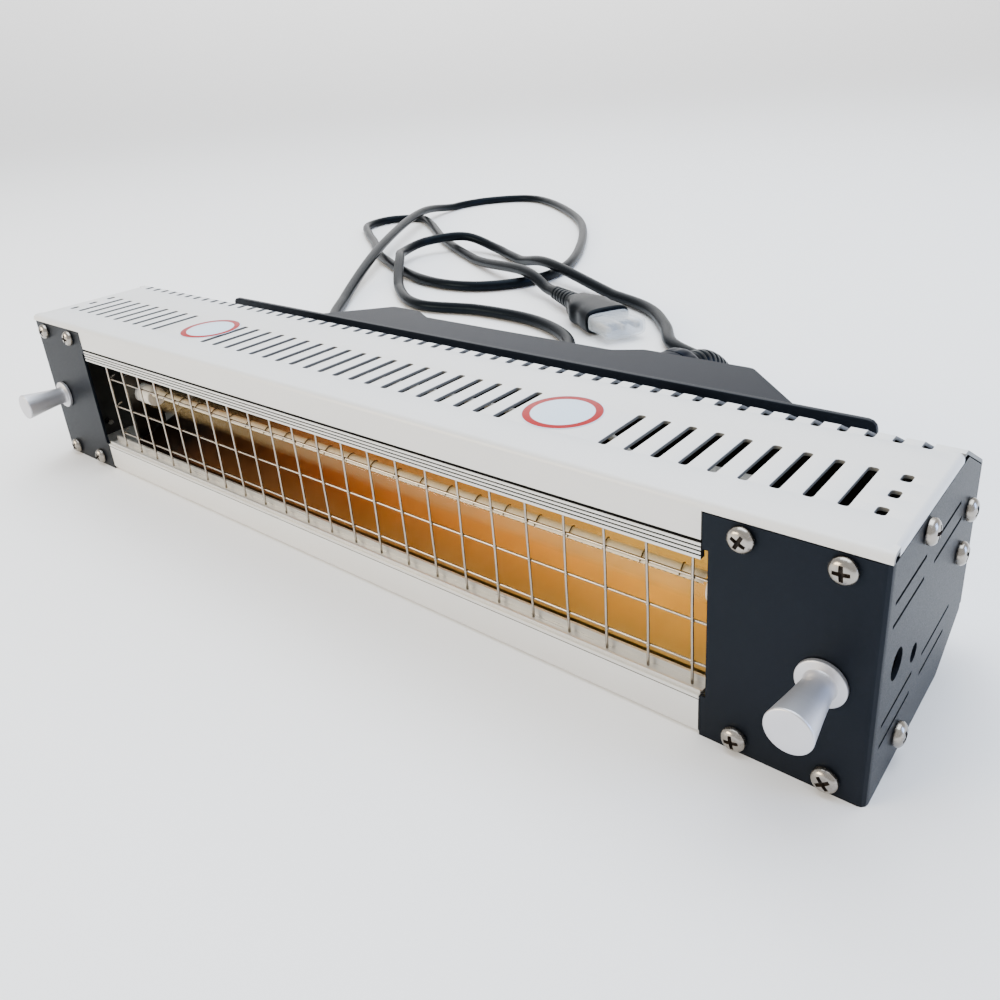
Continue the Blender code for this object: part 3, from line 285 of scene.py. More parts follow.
def turned_grid(profile: Points, steps: int) -> Points:
    """Turn a profile about Z: each (radius, height) pair goes round a full circle.

    Args:
        profile: Array of (radius, height) pairs, shape (n, 2).
        steps: How many points stand round the circle.

    Returns:
        Points of shape (n, steps, 3): radius times cosine, radius times sine, height.
    """
    angle = np.linspace(0, 2 * np.pi, steps, endpoint=False)
    radius, height = profile[:, :1], profile[:, 1:]
    spread = np.broadcast_to(height, (len(profile), steps))
    return np.stack([radius * np.cos(angle), radius * np.sin(angle), spread], axis=-1)


def pose(points: Points, axis: Vector, origin: Place, turn: float = 0.0) -> Points:
    """Carry points made about Z to an axis somewhere else.

    Args:
        points: Points about +Z.
        axis: Direction that +Z goes to.
        origin: Where their own origin goes.
        turn: Degrees they are first turned about Z.

    Returns:
        The moved points.
    """
    spin = Matrix.Rotation(math.radians(turn), 3, "Z")
    tilt = axis.to_track_quat("Z", "Y").to_matrix()
    return points @ np.array(tilt @ spin).T + np.array(origin)


def sweep_grid(path: Points, radius: np.ndarray | float, sides: int) -> Points:
    """Carry a circle along a path, upright frames worked out from the path's own direction.

    Each ring stands square to the path, with its first arm level, so that it never twists.

    Args:
        path: Points along the middle line, shape (n, 3).
        radius: One radius, or one for each point.
        sides: Points round each ring.

    Returns:
        Points of shape (n, sides, 3).
    """
    along = np.gradient(path, axis=0)
    along /= np.linalg.norm(along, axis=1, keepdims=True)
    upright = np.abs(along[:, 2:]) > 0.95
    guide = np.where(upright, [[0.0, 1.0, 0.0]], [[0.0, 0.0, 1.0]])
    level = np.cross(guide, along)
    level /= np.linalg.norm(level, axis=1, keepdims=True)
    rise = np.cross(along, level)
    angle = np.linspace(0, 2 * np.pi, sides, endpoint=False)[None, :, None]
    reach = np.broadcast_to(np.asarray(radius, float), (len(path),))[:, None, None]
    arm = np.cos(angle) * level[:, None] + np.sin(angle) * rise[:, None]
    return path[:, None] + reach * arm


def capped(points: Points) -> Points:
    """Close a swept or turned grid by adding its end rings' middles as rings of no size.

    Args:
        points: Grid of rings, shape (rings, sides, 3).

    Returns:
        The grid with both ends closed.
    """
    first = np.broadcast_to(points[0].mean(axis=0), points[0].shape)[None]
    last = np.broadcast_to(points[-1].mean(axis=0), points[-1].shape)[None]
    return np.concatenate([first, points, last])


def rounded_rod(length: float, radius: float, edge: float, steps: int = 5) -> Points:
    """Profile of a rod along +Z with rounded rims, from its foot's middle to its head's middle.

    Args:
        length: Length of the rod.
        radius: Its radius.
        edge: Radius of both rims.
        steps: Points on each rim.

    Returns:
        Array of (radius, height) pairs.
    """
    arc = np.linspace(0, np.pi / 2, steps)
    foot = np.stack([radius - edge + edge * np.sin(arc), edge - edge * np.cos(arc)], axis=1)
    head = np.stack([radius - edge + edge * np.cos(arc), length - edge + edge * np.sin(arc)], axis=1)
    return np.concatenate([[[0, 0]], foot, head, [[0, length]]])


def smooth_line(route: Points, step: float) -> Points:
    """Points close together along the Catmull-Rom curve through a route.

    Between two route points the curve is the usual cubic whose slope at each is half the way from the point
    before to the point after.

    Args:
        route: Route points, shape (n, 3).
        step: Distance wanted between the points.

    Returns:
        Evenly spaced points from the route's start to its end.
    """
    padded = np.concatenate([[2 * route[0] - route[1]], route, [2 * route[-1] - route[-2]]])
    before, start, end, after = padded[:-3, None], padded[1:-2, None], padded[2:-1, None], padded[3:, None]
    share = np.linspace(0, 1, 48, endpoint=False)[None, :, None]
    square = (2 * before - 5 * start + 4 * end - after) * share**2
    cubic = (3 * start - before - 3 * end + after) * share**3
    fine = 0.5 * (2 * start + (end - before) * share + square + cubic)
    fine = np.concatenate([fine.reshape(-1, 3), route[-1:]])
    run = np.concatenate([[0], np.cumsum(np.linalg.norm(np.diff(fine, axis=0), axis=1))])
    stations = np.linspace(0, run[-1], max(2, round(run[-1] / step)))
    return np.stack([np.interp(stations, run, fine[:, axis]) for axis in range(3)], axis=1)


# Shared material effects


def new_group(
    name: str,
    inputs: dict[str, tuple[str, float]],
    outputs: dict[str, str],
) -> bpy.types.NodeTree:
    """Start a shader node group.

    Args:
        name: Name of the group.
        inputs: Socket name to its type and default value.
        outputs: Socket name to its type.

    Returns:
        The group, with its input and output nodes named "in" and "out".
    """
    group = bpy.data.node_groups.new(name, "ShaderNodeTree")
    for label, (kind, value) in inputs.items():
        socket = group.interface.new_socket(label, in_out="INPUT", socket_type=f"NodeSocket{kind}")
        if kind == "Float":
            socket.default_value = value
    for label, kind in outputs.items():
        group.interface.new_socket(label, in_out="OUTPUT", socket_type=f"NodeSocket{kind}")
    group.nodes.new("NodeGroupInput").name = "in"
    group.nodes.new("NodeGroupOutput").name = "out"
    return group


def add_node(tree: bpy.types.NodeTree, kind: str, **values: object) -> bpy.types.Node:
    """Add a node and set its input sockets by name, or its properties where no socket has that name.

    Args:
        tree: The tree that gets the node.
        kind: Its type, without the ShaderNode prefix.
        values: Socket values or properties, by name.

    Returns:
        The node.
    """
    node = tree.nodes.new(f"ShaderNode{kind}")
    for label, value in values.items():
        title = label.replace("_", " ").title()
        if title in node.inputs:
            node.inputs[title].default_value = value
        else:
            setattr(node, label, value)
    return node


def grain_group() -> bpy.types.NodeTree:
    """Fine grain and broad patches, for any surface.

    Returns:
        The group.
    """
    if "surface_grain" in bpy.data.node_groups:
        return bpy.data.node_groups["surface_grain"]
    inputs = {"Vector": ("Vector", 0), "Fine Scale": ("Float", 900), "Broad Scale": ("Float", 25)}
    tree = new_group("surface_grain", inputs, {"Fine": "Float", "Broad": "Float"})
    entry, leave = tree.nodes["in"], tree.nodes["out"]
    fine = add_node(tree, "TexNoise", detail=3.0, roughness=0.6)
    broad = add_node(tree, "TexNoise", detail=4.0, roughness=0.55)
    for noise in (fine, broad):
        tree.links.new(entry.outputs["Vector"], noise.inputs["Vector"])
    tree.links.new(entry.outputs["Fine Scale"], fine.inputs["Scale"])
    tree.links.new(entry.outputs["Broad Scale"], broad.inputs["Scale"])
    tree.links.new(fine.outputs[0], leave.inputs["Fine"])
    tree.links.new(broad.outputs[0], leave.inputs["Broad"])
    return tree


def dust_group() -> bpy.types.NodeTree:
    """A mask of thin dust: it lies where the surface faces up, in soft patches.

    Returns:
        The group.
    """
    if "settled_dust" in bpy.data.node_groups:
        return bpy.data.node_groups["settled_dust"]
    tree = new_group("settled_dust", {"Vector": ("Vector", 0), "Amount": ("Float", 0.1)}, {"Mask": "Float"})
    entry, leave = tree.nodes["in"], tree.nodes["out"]
    facing = add_node(tree, "NewGeometry")
    split = add_node(tree, "SeparateXYZ")
    upward = add_node(tree, "MapRange", from_min=0.3, from_max=1.0, to_min=0.15, to_max=1.0)
    patches = add_node(tree, "TexNoise", scale=60.0, detail=5.0, roughness=0.65)
    spread = add_node(tree, "MapRange", from_min=0.42, from_max=0.7, to_min=0.0, to_max=1.0)
    both = add_node(tree, "Math", operation="MULTIPLY")
    scaled = add_node(tree, "Math", operation="MULTIPLY")
    tree.links.new(facing.outputs["Normal"], split.inputs[0])
    tree.links.new(split.outputs["Z"], upward.inputs["Value"])
    tree.links.new(entry.outputs["Vector"], patches.inputs["Vector"])
    tree.links.new(patches.outputs[0], spread.inputs["Value"])
    tree.links.new(upward.outputs[0], both.inputs[0])
    tree.links.new(spread.outputs[0], both.inputs[1])
    tree.links.new(both.outputs[0], scaled.inputs[0])
    tree.links.new(entry.outputs["Amount"], scaled.inputs[1])
    tree.links.new(scaled.outputs[0], leave.inputs["Mask"])
    return tree


@dataclass(frozen=True)
class Finish:
    """A surface: its two colours, its gloss, and how coarse and deep its grain is."""

    name: str
    colour: Colour
    patches: Colour
    roughness: Pair
    metallic: float = 0.0
    fine: float = 900.0
    broad: float = 25.0
    relief: float = 0.15
    depth: float = 0.00005
    dust: float = 0.0
    stretch: Place = (1.0, 1.0, 1.0)
    coat: float = 0.0
    alpha: float = 1.0
    specular: float = 0.5
    # Colour of the reflections; a blue one paints the blue of a reflected light.
    gloss_tint: Colour = (1.0, 1.0, 1.0)

    def shade(
        self,
        tree: bpy.types.NodeTree,
        colour: bpy.types.NodeSocket,
        place: bpy.types.NodeSocket,
    ) -> bpy.types.NodeSocket:
        """Return the colour as it is. A finish with a pattern of its own overrides this."""
        return colour

    def material(self) -> bpy.types.Material:
        """Build the finish once and give the same material to every piece that asks for it.

        Returns:
            The material.
        """
        title = f"{self.name}_finish"
        if title in bpy.data.materials:
            return bpy.data.materials[title]
        material = bpy.data.materials.new(title)
        material.use_nodes = True
        tree = material.node_tree
        shader = tree.nodes["Principled BSDF"]
        shader.inputs["Metallic"].default_value = self.metallic
        shader.inputs["Coat Weight"].default_value = self.coat
        shader.inputs["Coat Roughness"].default_value = 0.12
        shader.inputs["Alpha"].default_value = self.alpha
        shader.inputs["Specular IOR Level"].default_value = self.specular
        shader.inputs["Specular Tint"].default_value = (*self.gloss_tint, 1.0)
        place = add_node(tree, "TexCoord").outputs["Object"]
        mapping = add_node(tree, "Mapping")
        mapping.inputs["Scale"].default_value = self.stretch
        tree.links.new(place, mapping.inputs["Vector"])
        grain = add_node(tree, "Group", node_tree=grain_group())
        grain.inputs["Fine Scale"].default_value = self.fine
        grain.inputs["Broad Scale"].default_value = self.broad
        tree.links.new(mapping.outputs[0], grain.inputs["Vector"])
        blend = add_node(tree, "Mix", data_type="RGBA")
        sockets = [socket for socket in blend.inputs if socket.type == "RGBA"]
        sockets[0].default_value = (*self.colour, 1)
        sockets[1].default_value = (*self.patches, 1)
        tree.links.new(grain.outputs["Broad"], blend.inputs[0])
        colour = [socket for socket in blend.outputs if socket.type == "RGBA"][0]
        colour = self.shade(tree, colour, place)
        if self.dust:
            dust = add_node(tree, "Group", node_tree=dust_group())
            dust.inputs["Amount"].default_value = self.dust
            tree.links.new(place, dust.inputs["Vector"])
            colour = self.mixed(tree, colour, dust.outputs["Mask"], 1.0, (0.55, 0.53, 0.5))
        tree.links.new(colour, shader.inputs["Base Color"])
        gloss = add_node(tree, "MapRange", from_min=0.3, from_max=0.7)
        gloss.inputs["To Min"].default_value, gloss.inputs["To Max"].default_value = self.roughness
        tree.links.new(grain.outputs["Fine"], gloss.inputs["Value"])
        tree.links.new(gloss.outputs[0], shader.inputs["Roughness"])
        if self.relief:
            bump = add_node(tree, "Bump", strength=self.relief, distance=self.depth)
            tree.links.new(grain.outputs["Fine"], bump.inputs["Height"])
            tree.links.new(bump.outputs[0], shader.inputs["Normal"])
        return material

    def mixed(
        self,
        tree: bpy.types.NodeTree,
        colour: bpy.types.NodeSocket,
        mask: bpy.types.NodeSocket,
        amount: float,
        other: Colour,
    ) -> bpy.types.NodeSocket:
        """Lay another colour over this one where a mask says, and return the result's socket.

        Args:
            tree: The material's node tree.
            colour: Socket of the colour so far.
            mask: Socket that says where.
            amount: How strongly, from 0 to 1.
            other: The colour to lay over it.

        Returns:
            Socket of the mixed colour.
        """
        scaled = add_node(tree, "Math", operation="MULTIPLY")
        scaled.inputs[1].default_value = amount
        blend = add_node(tree, "Mix", data_type="RGBA")
        sockets = [socket for socket in blend.inputs if socket.type == "RGBA"]
        sockets[1].default_value = (*other, 1)
        tree.links.new(mask, scaled.inputs[0])
        tree.links.new(scaled.outputs[0], blend.inputs[0])
        tree.links.new(colour, sockets[0])
        return [socket for socket in blend.outputs if socket.type == "RGBA"][0]


@dataclass(frozen=True)
class GoldFinish(Finish):
    """Gold mirror with painted reflection and shade: it grows darker and redder towards the lamp's left end,
    where the dark end frames are reflected.
    """

    # far is a painted dark reflection of the end frames; end is a painted shade at the left end.
    far: Colour = (0.36, 0.14, 0.05)
    end: Colour = (0.03, 0.022, 0.016)

    def shade(
        self,
        tree: bpy.types.NodeTree,
        colour: bpy.types.NodeSocket,
        place: bpy.types.NodeSocket,
    ) -> bpy.types.NodeSocket:
        """Blend to the far colour along X, a painted dark reflection, and to a near-black painted shade over
        the last few centimetres.

        Args:
            tree: The material's node tree.
            colour: Socket of the colour so far.
            place: Socket of the Object coordinates.

        Returns:
            Socket of the shaded colour.
        """
        split = add_node(tree, "SeparateXYZ")
        # Painted dark reflection growing along X, then painted shade over the left end.
        along = add_node(tree, "MapRange", from_min=0.11, from_max=-0.1, to_min=0.0, to_max=1.0)
        end_shade = add_node(tree, "MapRange", from_min=-0.078, from_max=-0.108, to_min=0.0, to_max=0.95)
        tree.links.new(place, split.inputs[0])
        tree.links.new(split.outputs["X"], along.inputs["Value"])
        tree.links.new(split.outputs["X"], end_shade.inputs["Value"])
        colour = self.mixed(tree, colour, along.outputs[0], 1.0, self.far)
        return self.mixed(tree, colour, end_shade.outputs[0], 1.0, self.end)


@dataclass(frozen=True)
class RingedFinish(Finish):
    """A round label: plain rings of two colours about a centre in the row frame, in metres."""

    centre: Place = (0.0, 0.0, 0.0)
    radius: float = 0.012
    rim: Colour = (0.3, 0.0, 0.004)

    def shade(
        self,
        tree: bpy.types.NodeTree,
        colour: bpy.types.NodeSocket,
        place: bpy.types.NodeSocket,
    ) -> bpy.types.NodeSocket:
        """Colour the rim by its distance from the centre.

        Args:
            tree: The material's node tree.
            colour: Socket of the colour so far.
            place: Socket of the Object coordinates.

        Returns:
            Socket of the shaded colour.
        """
        away = add_node(tree, "VectorMath", operation="DISTANCE")
        away.inputs[1].default_value = self.centre
        tree.links.new(place, away.inputs[0])
        inner, outer = (0.775 * self.radius, 0.795 * self.radius), (0.97 * self.radius, 0.985 * self.radius)
        rim = add_node(tree, "MapRange", from_min=inner[0], from_max=inner[1])
        edge = add_node(tree, "MapRange", from_min=outer[0], from_max=outer[1], to_min=1.0, to_max=0.0)
        tree.links.new(away.outputs["Value"], rim.inputs["Value"])
        tree.links.new(away.outputs["Value"], edge.inputs["Value"])
        both = add_node(tree, "Math", operation="MULTIPLY")
        tree.links.new(rim.outputs[0], both.inputs[0])
        tree.links.new(edge.outputs[0], both.inputs[1])
        return self.mixed(tree, colour, both.outputs[0], 1.0, self.rim)


COVER = Finish(
    "cover_grey", colour=(0.7, 0.7, 0.695), patches=(0.63, 0.635, 0.63), roughness=(0.3, 0.4), fine=2600,
    broad=18, relief=0.12, depth=0.00003, dust=0.04, coat=0.08,
)
# Near-black painted shade for the top cover's inner side and the trim's grooves.
INSIDE = Finish(
    "cover_inside", colour=(0.012, 0.012, 0.012), patches=(0.02, 0.02, 0.019), roughness=(0.6, 0.75),
    fine=1800, broad=30, relief=0.1, specular=0.1,
)
# Black paint whose reflections are tinted blue: painted reflection of a blue light.
CAP = Finish(
    "cap_black", colour=(0.003, 0.0038, 0.0056), patches=(0.0055, 0.007, 0.0105), roughness=(0.36, 0.48),
    fine=3200, broad=20, relief=0.35, dust=0.004, specular=0.12, gloss_tint=(0.62, 0.78, 1.0),
)
STEEL = Finish(
    "bright_steel", colour=(0.09, 0.088, 0.082), patches=(0.05, 0.05, 0.047), roughness=(0.3, 0.48),
    metallic=1.0, fine=700, broad=30, relief=0.05, stretch=(1, 1, 8),
)
TRIM = Finish(
    "trim_aluminium", colour=(0.72, 0.715, 0.69), patches=(0.6, 0.595, 0.57), roughness=(0.26, 0.4),
    metallic=0.5, relief=0.06, stretch=(0.05, 1, 1),
)
SCREW = Finish(
    "screw_nickel", colour=(0.42, 0.39, 0.35), patches=(0.22, 0.2, 0.175), roughness=(0.14, 0.3),
    metallic=1.0, fine=1500, broad=160, relief=0.08, depth=0.00003,
)
# Near-black painted shade for the cross recess in the screw heads.
RECESS_SHADE = Finish(
    "screw_recess", colour=(0.012, 0.009, 0.007), patches=(0.03, 0.02, 0.014), roughness=(0.5, 0.7),
    fine=1500, broad=160, relief=0.1, specular=0.2,
)
KNOB = Finish(
    "knob_aluminium", colour=(0.6, 0.6, 0.63), patches=(0.5, 0.5, 0.53), roughness=(0.34, 0.48),
    metallic=0.8, fine=2400, broad=60, relief=0.1, depth=0.00002, stretch=(1, 6, 1),
)
WIRE = Finish(
    "guard_wire", colour=(0.5, 0.45, 0.38), patches=(0.26, 0.22, 0.18), roughness=(0.14, 0.28),
    metallic=1.0, fine=1500, broad=80, relief=0.04,
)
# Gold whose colour grows darker and redder to the left: painted reflection and shade.
GOLD = GoldFinish(
    "reflector_gold", colour=(0.9, 0.73, 0.35), patches=(0.68, 0.47, 0.17), roughness=(0.3, 0.42),
    metallic=1.0, fine=160, broad=34, relief=0.04, depth=0.0002, stretch=(1.0, 1.0, 0.25),
)
QUARTZ = Finish(
    "quartz", colour=(0.8, 0.6, 0.3), patches=(0.7, 0.5, 0.22), roughness=(0.03, 0.07), fine=300,
    broad=20, relief=0.0, alpha=0.06,
)
# White coat on the tube; its bright cream also paints the highlight along the tube's top.
WHITE_COAT_PAINTED_HIGHLIGHT = Finish(
    "white_coating", colour=(0.98, 0.93, 0.78), patches=(0.93, 0.85, 0.66), roughness=(0.5, 0.65),
    fine=800, broad=40, relief=0.1,
)
BASE_INSIDE = Finish(
    "base_inside", colour=(0.5, 0.48, 0.43), patches=(0.6, 0.57, 0.5), roughness=(0.4, 0.55),
    metallic=0.3, fine=1800, broad=60, relief=0.05,
)
EDGE = Finish(
    "cut_edge", colour=(0.13, 0.13, 0.13), patches=(0.2, 0.2, 0.19), roughness=(0.4, 0.6), fine=1800,
    broad=60, relief=0.1, specular=0.2,
)
TUNGSTEN = Finish(
    "tungsten", colour=(0.015, 0.012, 0.01), patches=(0.03, 0.022, 0.016), roughness=(0.4, 0.55),
    metallic=0.4, fine=1500, broad=80, relief=0.05, specular=0.2,
)
CERAMIC = Finish(
    "ceramic", colour=(0.78, 0.76, 0.7), patches=(0.68, 0.65, 0.6), roughness=(0.5, 0.7), fine=1500,
    broad=60, relief=0.2,
)
SLEEVE = Finish(
    "sleeve_white", colour=(0.75, 0.73, 0.68), patches=(0.62, 0.6, 0.55), roughness=(0.6, 0.8), fine=1800,
    broad=200, relief=0.6, depth=0.0002,
)
# Bluish black with blue-tinted reflections: painted reflection of a blue light on black plastic.
HANDLE = Finish(
    "handle_black", colour=(0.0022, 0.003, 0.0052), patches=(0.004, 0.0055, 0.0095), roughness=(0.3, 0.4),
    fine=3000, broad=30, relief=0.2, depth=0.00003, dust=0.002, specular=0.06,
    gloss_tint=(0.25, 0.5, 1.0),
)
# Black rubber whose reflections are tinted blue: painted reflection of a blue light.
RUBBER = Finish(
    "cord_rubber", colour=(0.002, 0.0024, 0.0034), patches=(0.004, 0.0048, 0.006), roughness=(0.26, 0.38),
    fine=1200, broad=40, dust=0.001, specular=0.07, gloss_tint=(0.5, 0.75, 1.0),
)
CLEAR = Finish(
    "clear_plastic", colour=(0.75, 0.8, 0.85), patches=(0.7, 0.76, 0.82), roughness=(0.03, 0.08),
    fine=400, broad=40, relief=0.0, alpha=0.3,
)
BLADE = Finish(
    "pin_brass", colour=(0.5, 0.44, 0.32), patches=(0.4, 0.34, 0.24), roughness=(0.2, 0.35), metallic=1.0,
    fine=1500, broad=80, relief=0.05,
)


# The studio


@dataclass
class Studio:
    """Floor, light and camera."""

    eye: Place = (0.2278, -0.22515, 0.1649)
    right: Place = (0.77594, 0.62672, -0.07174)
    down: Place = (0.19492, -0.34637, -0.91762)
    forward: Place = (-0.59994, 0.69804, -0.39092)
    lens: float = 31.448
    shift: Pair = (-0.0102, -0.0836)
    floor_reach: float = 16.0
    floor_steps: int = 61
    floor_flat: float = 2.5
    floor_rise: float = 0.03

    def camera(self) -> None:
        """Stand the camera so that its axes are the three given directions."""
        data = bpy.data.cameras.new("camera")
        data.lens = self.lens
        data.sensor_width = 36
        data.shift_x, data.shift_y = self.shift
        data.clip_start = 0.01
        camera = bpy.data.objects.new("camera", data)
        bpy.context.scene.collection.objects.link(camera)
        axes = Matrix((self.right, -Vector(self.down), -Vector(self.forward))).transposed()
        camera.matrix_world = Matrix.Translation(self.eye) @ axes.to_4x4()
        bpy.context.scene.camera = camera

    def floor(self) -> None:
        """Lay a floor that rises far off: its height is the rise times the square of the distance past the
        flat.
        """
        axis = np.linspace(-self.floor_reach, self.floor_reach, self.floor_steps)
        across, back = np.meshgrid(axis, axis)
        away = np.clip(np.hypot(across, back) - self.floor_flat, 0, None)
        points = np.stack([across, back, self.floor_rise * away**2], axis=-1)
        mesh = bpy.data.meshes.new("floor")
        index = np.arange(self.floor_steps**2).reshape(self.floor_steps, self.floor_steps)
        corners = (index[:-1, :-1], index[:-1, 1:], index[1:, 1:], index[1:, :-1])
        quads = np.stack(corners, axis=-1).reshape(-1, 4)
        mesh.from_pydata(points.reshape(-1, 3).tolist(), [], quads.tolist())
        floor = bpy.data.objects.new("floor", mesh)
        bpy.context.scene.collection.objects.link(floor)
        pale = Finish("floor_pale", (0.93, 0.93, 0.93), (0.92, 0.92, 0.925), (0.6, 0.7), 0.0, 40, 2, 0.0)
        mesh.shade_smooth()
        mesh.materials.append(pale.material())

    def softbox(
        self,
        name: str,
        place: Place,
        size: Pair,
        power: float,
        tint: Colour,
        aim: Place = (0.0, 0.0, 0.03),
    ) -> None:
        """Hang a rectangular lamp that looks at a point, by default the object's middle.

        Args:
            name: Name of the lamp.
            place: Where it hangs, in metres.
            size: Its width and height.
            power: Its power in watts.
            tint: Its colour.
            aim: The point it looks at.
        """
        data = bpy.data.lights.new(name, "AREA")
        data.shape = "RECTANGLE"
        data.size, data.size_y = size
        data.energy = power
        data.color = tint
        lamp = bpy.data.objects.new(name, data)
        bpy.context.scene.collection.objects.link(lamp)
        lamp.location = place
        lamp.rotation_euler = (Vector(aim) - Vector(place)).to_track_quat("-Z", "Y").to_euler()

    def light(self) -> None:
        """A bright even room with broad soft lamps: overhead, front left, right, and over the far floor."""
        world = bpy.data.worlds.new("room")
        bpy.context.scene.world = world
        world.use_nodes = True
        world.node_tree.nodes["Background"].inputs["Color"].default_value = (1.0, 1.0, 1.0, 1)
        world.node_tree.nodes["Background"].inputs["Strength"].default_value = 1.0
        self.softbox("overhead", (0.0, 0.3, 1.6), (1.8, 1.5), 46, (0.82, 0.91, 1.0))
        self.softbox("front_left", (-0.9, -1.3, 0.55), (0.9, 0.6), 26, (1.0, 0.84, 0.6))
        self.softbox("far_floor", (-6.0, 7.5, 5.0), (11.0, 11.0), 900, (1.0, 1.0, 1.0), (-6.0, 7.5, 0.0))
        self.softbox("right", (1.5, 0.5, 0.5), (0.5, 0.9), 16, (0.3, 0.5, 1.0))

    def build(self) -> None:
        """Make all of it."""
        self.camera()
        self.floor()
        self.light()


# Dressing


@dataclass
class Dresser:
    """Puts pieces on their bodies and finishes on nodes, and keeps the log."""

    frame: dict
    done: set[str] = field(default_factory=set)

    def body_of(self, node: str) -> str:
        """Name of the body that a node belongs to.

        Args:
            node: Name of the node.

        Returns:
            The name.
        """
        for body, nodes in self.frame["record"]["behaviour"]["bodies"].items():
            if node in nodes:
                return body
        raise KeyError(node)

    def piece(
        self,
        obj: bpy.types.Object,
        finish: Finish,
        *nodes: str,
        body: str | None = None,
    ) -> bpy.types.Object:
        """Dress a new piece, put it on its body and let it stand for its nodes.

        Args:
            obj: The new piece.
            finish: Its finish.
            nodes: The nodes it stands for.
            body: Its body, where it stands for no node.

        Returns:
            The same object.
        """
        obj.data.materials.clear()
        obj.data.materials.append(finish.material())
        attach(obj, body or self.body_of(nodes[0]))
        if nodes:
            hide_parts(*nodes)
        self.done.update(nodes)
        LOG.info("%s: %s, for %s", obj.name, finish.name, ", ".join(nodes) or "detail")
        return obj

    def node(self, node: str, finish: Finish) -> None:
        """Give a node that keeps its own shape a better finish.

        Args:
            node: Name of the node.
            finish: Its finish.
        """
        obj = self.frame["nodes"][node]
        obj.data.materials.clear()
        obj.data.materials.append(finish.material())
        self.done.add(node)
        LOG.info("%s keeps its shape: %s", node, finish.name)

    def refined(
        self,
        node: str,
        finish: Finish,
        edge: float = 0.3,
        segments: int = 2,
        angle: float = 28.0,
    ) -> bpy.types.Object:
        """Replace a node by its own shape with softened edges.

        Args:
            node: The node to copy.
            finish: Finish for the copy.
            edge: Width of the softened edges, in millimetres.
            segments: Steps across each edge.
            angle: Edges sharper than this are softened.

        Returns:
            The new piece.
        """
        source = self.frame["nodes"][node]
        mesh = source.data.copy()
        mesh.name = f"{node}_soft"
        form = bmesh.new()
        form.from_mesh(mesh)
        bmesh.ops.remove_doubles(form, verts=form.verts, dist=1e-6)
        bmesh.ops.dissolve_limit(form, angle_limit=math.radians(0.6), verts=form.verts, edges=form.edges)
        form.to_mesh(mesh)
        form.free()
        mesh.shade_smooth()
        obj = bpy.data.objects.new(f"{node}_soft", mesh)
        bpy.context.scene.collection.objects.link(obj)
        bevel = obj.modifiers.new("edges", "BEVEL")
        bevel.width = edge * MM
        bevel.segments = segments
        bevel.limit_method = "ANGLE"
        bevel.angle_limit = math.radians(angle)
        bevel.use_clamp_overlap = True
        weighted = obj.modifiers.new("flat_faces", "WEIGHTED_NORMAL")
        weighted.mode = "FACE_AREA"
        weighted.keep_sharp = True
        return self.piece(obj, finish, node)

    def rest(self, finishes: dict[str, Finish]) -> None:
        """Finish every node that no piece stands for, by the start of its name.

        Args:
            finishes: Start of a node's name to its finish.
        """
        for name in sorted(self.frame["nodes"]):
            if name in self.done:
                continue
            for start, finish in finishes.items():
                if name.startswith(start):
                    self.node(name, finish)
                    break
            else:
                raise KeyError(f"no finish for {name}")


# Folded covers


@dataclass(frozen=True)
class Fold:
    """A sheet's outer line in the (Y, Z) plane: straight runs with an arc at each corner."""

    corners: tuple[Pair, ...]
    radius: float

    def line(self) -> Points:
        """Points along the line: each corner becomes an arc of seven points, tangent to both runs.

        Returns:
            Points along it, in order.
        """
        corners = np.array(self.corners, float)
        path = [corners[:1]]
        for before, here, after in zip(corners, corners[1:], corners[2:]):
            back = (before - here) / np.linalg.norm(before - here)
            on = (after - here) / np.linalg.norm(after - here)
            half = math.acos(float(np.clip(back @ on, -1, 1))) / 2
            middle = (back + on) / np.linalg.norm(back + on)
            centre = here + middle * self.radius / math.sin(half)
            start = here + back * self.radius / math.tan(half) - centre
            sweep = math.pi - 2 * half
            sign = 1.0 if start[1] * back[0] - start[0] * back[1] > 0 else -1.0
            angle = sign * np.linspace(0, sweep, 7)
            turned = np.stack(
                [
                    start[0] * np.cos(angle) - start[1] * np.sin(angle),
                    start[0] * np.sin(angle) + start[1] * np.cos(angle),
                ],
                axis=1,
            )
            path.append(centre + turned)
        path.append(corners[-1:])
        return np.concatenate(path)

    def run(self) -> np.ndarray:
        """Distance along the sheet of each point of line()."""
        line = self.line()
        return np.concatenate([[0], np.cumsum(np.linalg.norm(np.diff(line, axis=0), axis=1))])

    def at(self, stations: np.ndarray) -> Points:
        """(Y, Z) at these distances along the sheet."""
        line, run = self.line(), self.run()
        return np.stack([np.interp(stations, run, line[:, 0]), np.interp(stations, run, line[:, 1])], axis=-1)

    def station(self, depth: float) -> float:
        """Distance along the sheet at which the upper side reaches this depth.

        Args:
            depth: Distance back from the front face.

        Returns:
            The distance.
        """
        line, run = self.line(), self.run()
        rising = line[:, 0] > 1e-6
        first = int(np.argmax(rising)) - 1
        last = int(np.argmax(line[:, 0]))
        return float(np.interp(depth, line[first : last + 1, 0], run[first : last + 1]))


